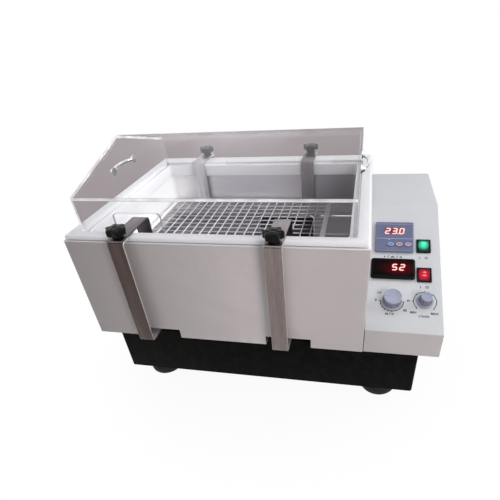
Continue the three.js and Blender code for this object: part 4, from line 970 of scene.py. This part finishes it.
def panel_knob(node, across, up, skirt, waist, cap, height, flutes, depth, cap_drop, turn):
    """A moulded knob: round skirt, fluted grip that narrows upwards, and a flat cap with a pointer line."""
    grip_foot = 2.6
    base = turned(node + "_skirt", [(0, 0), (skirt - 0.4, 0), (skirt, 0.4), (skirt, 2.4), (skirt - 0.6, 3.0), (0, 3.0)],
                  64)
    grip = disc(node + "_grip", waist, flutes * 6, (0, 0, grip_foot))
    for point in grip.data.vertices:
        angle = math.atan2(point.co.y, point.co.x)
        share = 1 - depth / waist * (0.5 - 0.5 * math.cos(flutes * angle)) ** 2
        point.co.x *= share
        point.co.y *= share
    open_up(grip)
    draw_out(0, 0, height - grip_foot - cap_drop)
    bpy.ops.transform.resize(value=(cap / waist, cap / waist, 1), center_override=(0, 0, 0))
    close_up()
    round_edges(face_out(grip), 0.5, 3, 60)
    low, high = height - cap_drop - 0.3, height - 0.5
    top = turned(node + "_cap", [(0, high), (cap - 2.2, high), (cap - 1.4, height - 0.1), (cap - 0.8, height),
                                 (cap - 0.1, high), (cap + 0.1, low), (0, low)], 64)
    line = bar_mark(node + "_pointer", cap * 0.62, 1.1, 0.12)
    line.data.transform(moved(cap * 0.55, 0, high))
    foot = panel_span(node)[2][1] - height
    for piece, material in ((base, silver_plastic), (soften(grip, 40), knob_side), (top, silver_plastic),
                            (line, knob_side)):
        finish(on_slope(piece, across, up, foot, turn), material, node, node)


timer_at, speed_at, numbers_from_timer = (45.5, 62), (102.5, 65), 28.5
panel_knob("timer_knob", *timer_at, 18, 16.8, 15.4, 18.5, 24, 1.4, 2.2, 180)
panel_knob("speed_knob", *speed_at, 14.3, 12.4, 9.5, 17.5, 14, 1.6, 1.2, 225)
dial_print("timer_dial", *timer_at, 20.0, 180, 180, [180 + 18 * i for i in range(6)] + [360], 1.5)
for number, (words, angle, size) in enumerate((("0", 178, 7.2), ("120", 143, 5.4), ("60", 6, 5.4), ("45", 322, 7.0))):
    lettering("timer_number_%d" % number, words, size,
              timer_at[0] + numbers_from_timer * math.cos(math.radians(angle)),
              timer_at[1] + numbers_from_timer * math.sin(math.radians(angle)))
lettering("timer_unit", "min", 7.6, 41.5, 36.5, 1.5)
dial_print("speed_dial", *speed_at, 19.6, -45, 270, [-45, 45, 90, 135, 180, 225], 1.3)
lettering("speed_least", "MIN", 6.0, 82.0, 41.5)
lettering("speed_most", "MAX", 6.0, 118.0, 41.0)
lettering("speed_unit", "r/min", 7.0, 100, 35.0, 1.2)


# ---- inside, underneath and behind

for node, material, slot, body, edge in (
        ("heater_tube", sheath, "stainless", "housing", 0.3),
        ("temperature_probe", rod_steel, "stainless", "housing", 0.3),
        ("drain_pipe", plain_steel, "stainless", "housing", 0.3),
        ("drain_tap", brass, "brass", "housing", 0.4),
        ("drain_lever", chrome, "steel", "drain_lever", 0.4),
        ("cable_gland", black_plastic, "black_plastic", "housing", 0.4),
        ("guide_rod_front", rod_steel, "steel", "housing", 0.5),
        ("guide_rod_rear", rod_steel, "steel", "housing", 0.5),
        ("drive_frame", plain_steel, "steel", "housing", 0.4),
        ("drive_motor", plain_steel, "steel", "housing", 0.6),
        ("drive_belt", belt_rubber, "rubber", "housing", 0.2),
        ("carriage_frame", plain_steel, "steel", "carriage", 0.4),
        ("crank_wheel", plain_steel, "steel", "crank", 0.5),
        ("motor_pulley", plain_steel, "steel", "pulley", 0.4),
        ("connecting_rod", plain_steel, "steel", "connecting_rod", 0.5)):
    dressed(node, material, body, edge, 2, 35)
for name in corners:
    dressed("bearing_" + name, plain_steel, "carriage", 0.6, 3, 35)


# screws that hold the back, the base and the bottom plate

def pan_screw():
    """A pan head with a crossed recess, standing along +Z."""
    head = turned("screw", [(0, 0), (3.4, 0), (3.5, 0.4), (3.1, 1.3), (2.1, 1.9), (0, 2.1)], 28)
    cut_out(head, block("slot", (-2.0, -0.35, 1.0), (2.0, 0.35, 3)), block("slot", (-0.35, -2.0, 1.0), (0.35, 2.0, 3)))
    return soften(head, 40)


screw_model = pan_screw()
back, left, right, down = swung(-90, "X"), swung(-90, "Y"), swung(90, "Y"), swung(180, "X")
screw_rows = {
    "box_back": (back, [(x, 230, z) for x in (216, 324) for z in (152, 304)]),
    "body_back": (back, [(x, 230, 343) for x in (-322, -66, 190)]),
    "base_back": (back, [(x, 212, z) for x in (-292, 0, 292) for z in (46, 124)]),
    "base_left": (left, [(-306, y, z) for y in (-196, 196) for z in (46, 124)]),
    "base_right": (right, [(306, y, z) for y in (-196, 196) for z in (46, 124)]),
    "bottom": (down, [(x, y, 33) for x in (-290, 0, 290) for y in (-196, 196)]),
}
for name, (outward, places) in screw_rows.items():
    heads = [duplicate(screw_model, name + "_screw", place, outward) for place in places]
    finish(weld_together(name + "_screws", heads), plain_steel)
bpy.data.objects.remove(screw_model)


# ---- floor, lamps and camera

def seen_directly(tree):
    """1 for rays that show the background: to the camera, in a gloss, or through glass."""
    path = put(tree, "LightPath", {})
    seen = reckon(tree, "MAXIMUM", path["Is Camera Ray"], path["Is Glossy Ray"])
    return reckon(tree, "MAXIMUM", seen, path["Is Transmission Ray"]), path


def background_tone(tree, path):
    """White, but the grey mauve of the room where it is seen through the clear lid."""
    behind = reckon(tree, "GREATER_THAN", path["Transparent Depth"], 0.5)
    camera_only = reckon(tree, "MULTIPLY", behind, path["Is Camera Ray"])
    return blend_colours(tree, camera_only, (255, 255, 255), (150, 140, 143))


def build_floor():
    """It shows white, with a faint shadow near the part, and sends light back as matt board does."""
    floor = fresh("studio_floor", bpy.ops.mesh.primitive_plane_add, size=12.0, location=at(0, 0, -0.2))
    material = bpy.data.materials.new("pale floor")
    material.use_nodes = True
    tree = material.node_tree
    tree.nodes.remove(tree.nodes["Principled BSDF"])
    seen, path = seen_directly(tree)
    far = put(tree, "VectorMath", {0: put(tree, "TexCoord", {})["Object"]}, operation="LENGTH")["Value"]
    share = reckon(tree, "MULTIPLY", seen, ramp(tree, far, 280 * MM, 500 * MM, 0.94, 1.0))
    matt = put(tree, "BsdfDiffuse", {"Color": (0.85, 0.85, 0.85, 1)})[0]
    white = put(tree, "Emission", {"Color": background_tone(tree, path), "Strength": 1.0})[0]
    both = put(tree, "MixShader", {0: share, 1: matt, 2: white})[0]
    feed(tree, tree.nodes["Material Output"], {"Surface": both})
    floor.data.materials.append(material)


def build_world():
    world = bpy.data.worlds.new("studio")
    bpy.context.scene.world = world
    world.use_nodes = True
    tree = world.node_tree
    tree.nodes.clear()
    seen, path = seen_directly(tree)
    white = put(tree, "Background", {"Color": background_tone(tree, path),
                                     "Strength": blend_values(tree, seen, 0.26, 1.0)})[0]
    put(tree, "OutputWorld", {"Surface": white})


def softbox(name, place, aim, size, power, colour=(1, 1, 1), spread=180):
    """A rectangular lamp, whose places and size are in metres."""
    light = bpy.data.lights.new(name, "AREA")
    light.shape = "RECTANGLE"
    light.size, light.size_y = size
    light.energy = power
    light.spread = math.radians(spread)
    light.color = colour
    lamp = bpy.data.objects.new(name, light)
    lamp.location = place
    lamp.rotation_euler = (Vector(aim) - Vector(place)).to_track_quat("-Z", "Y").to_euler()
    bpy.context.scene.collection.objects.link(lamp)


daylight = (0.97, 0.985, 1.0)
build_floor()
build_world()
softbox("overhead", (0.2, 0.4, 2.2), (0, 0, 0.2), (1.6, 1.4), 8.8, (0.96, 0.985, 1.0))
softbox("right front", (1.05, -1.4, 0.95), (0, -0.1, 0.25), (0.6, 0.6), 10.2, (1.0, 0.95, 0.94))
softbox("right window", (1.75, 0.15, 1.15), (-0.2, 0, 0.25), (0.9, 0.9), 15, daylight)
softbox("above the bath", (0.34, 0.0, 0.98), (-0.31, 0, 0.26), (0.25, 0.25), 0.3, daylight, 38)
softbox("left front", (-1.4, -1.5, 1.0), (0, -0.1, 0.2), (1.2, 1.2), 0.3)

# the camera that was fitted to the photograph: its picture, focal length and centre in pixels
picture, focal, centre_x, centre_y = 500.0, 403.0901, 269.325, 314.6215
camera = bpy.data.cameras.new("photo view")
camera.sensor_fit = "HORIZONTAL"
camera.sensor_width = 36.0
camera.lens = focal * 36.0 / picture
camera.shift_x = (picture / 2 - centre_x) / picture
camera.shift_y = (centre_y - picture / 2) / picture
camera.clip_start = 0.01
camera.clip_end = 50.0
viewer = bpy.data.objects.new("photo view", camera)
viewer.matrix_world = Matrix((
    (0.97674747, -0.06272685, 0.20501152, 0.18392891),
    (0.20059889, 0.60485013, -0.77065972, -0.79529985),
    (-0.07566019, 0.79386502, 0.60336877, 0.65704096),
    (0, 0, 0, 1)))
bpy.context.scene.collection.objects.link(viewer)
bpy.context.scene.camera = viewer
bpy.context.scene.view_settings.view_transform = "Standard"

bpy.context.view_layer.update()
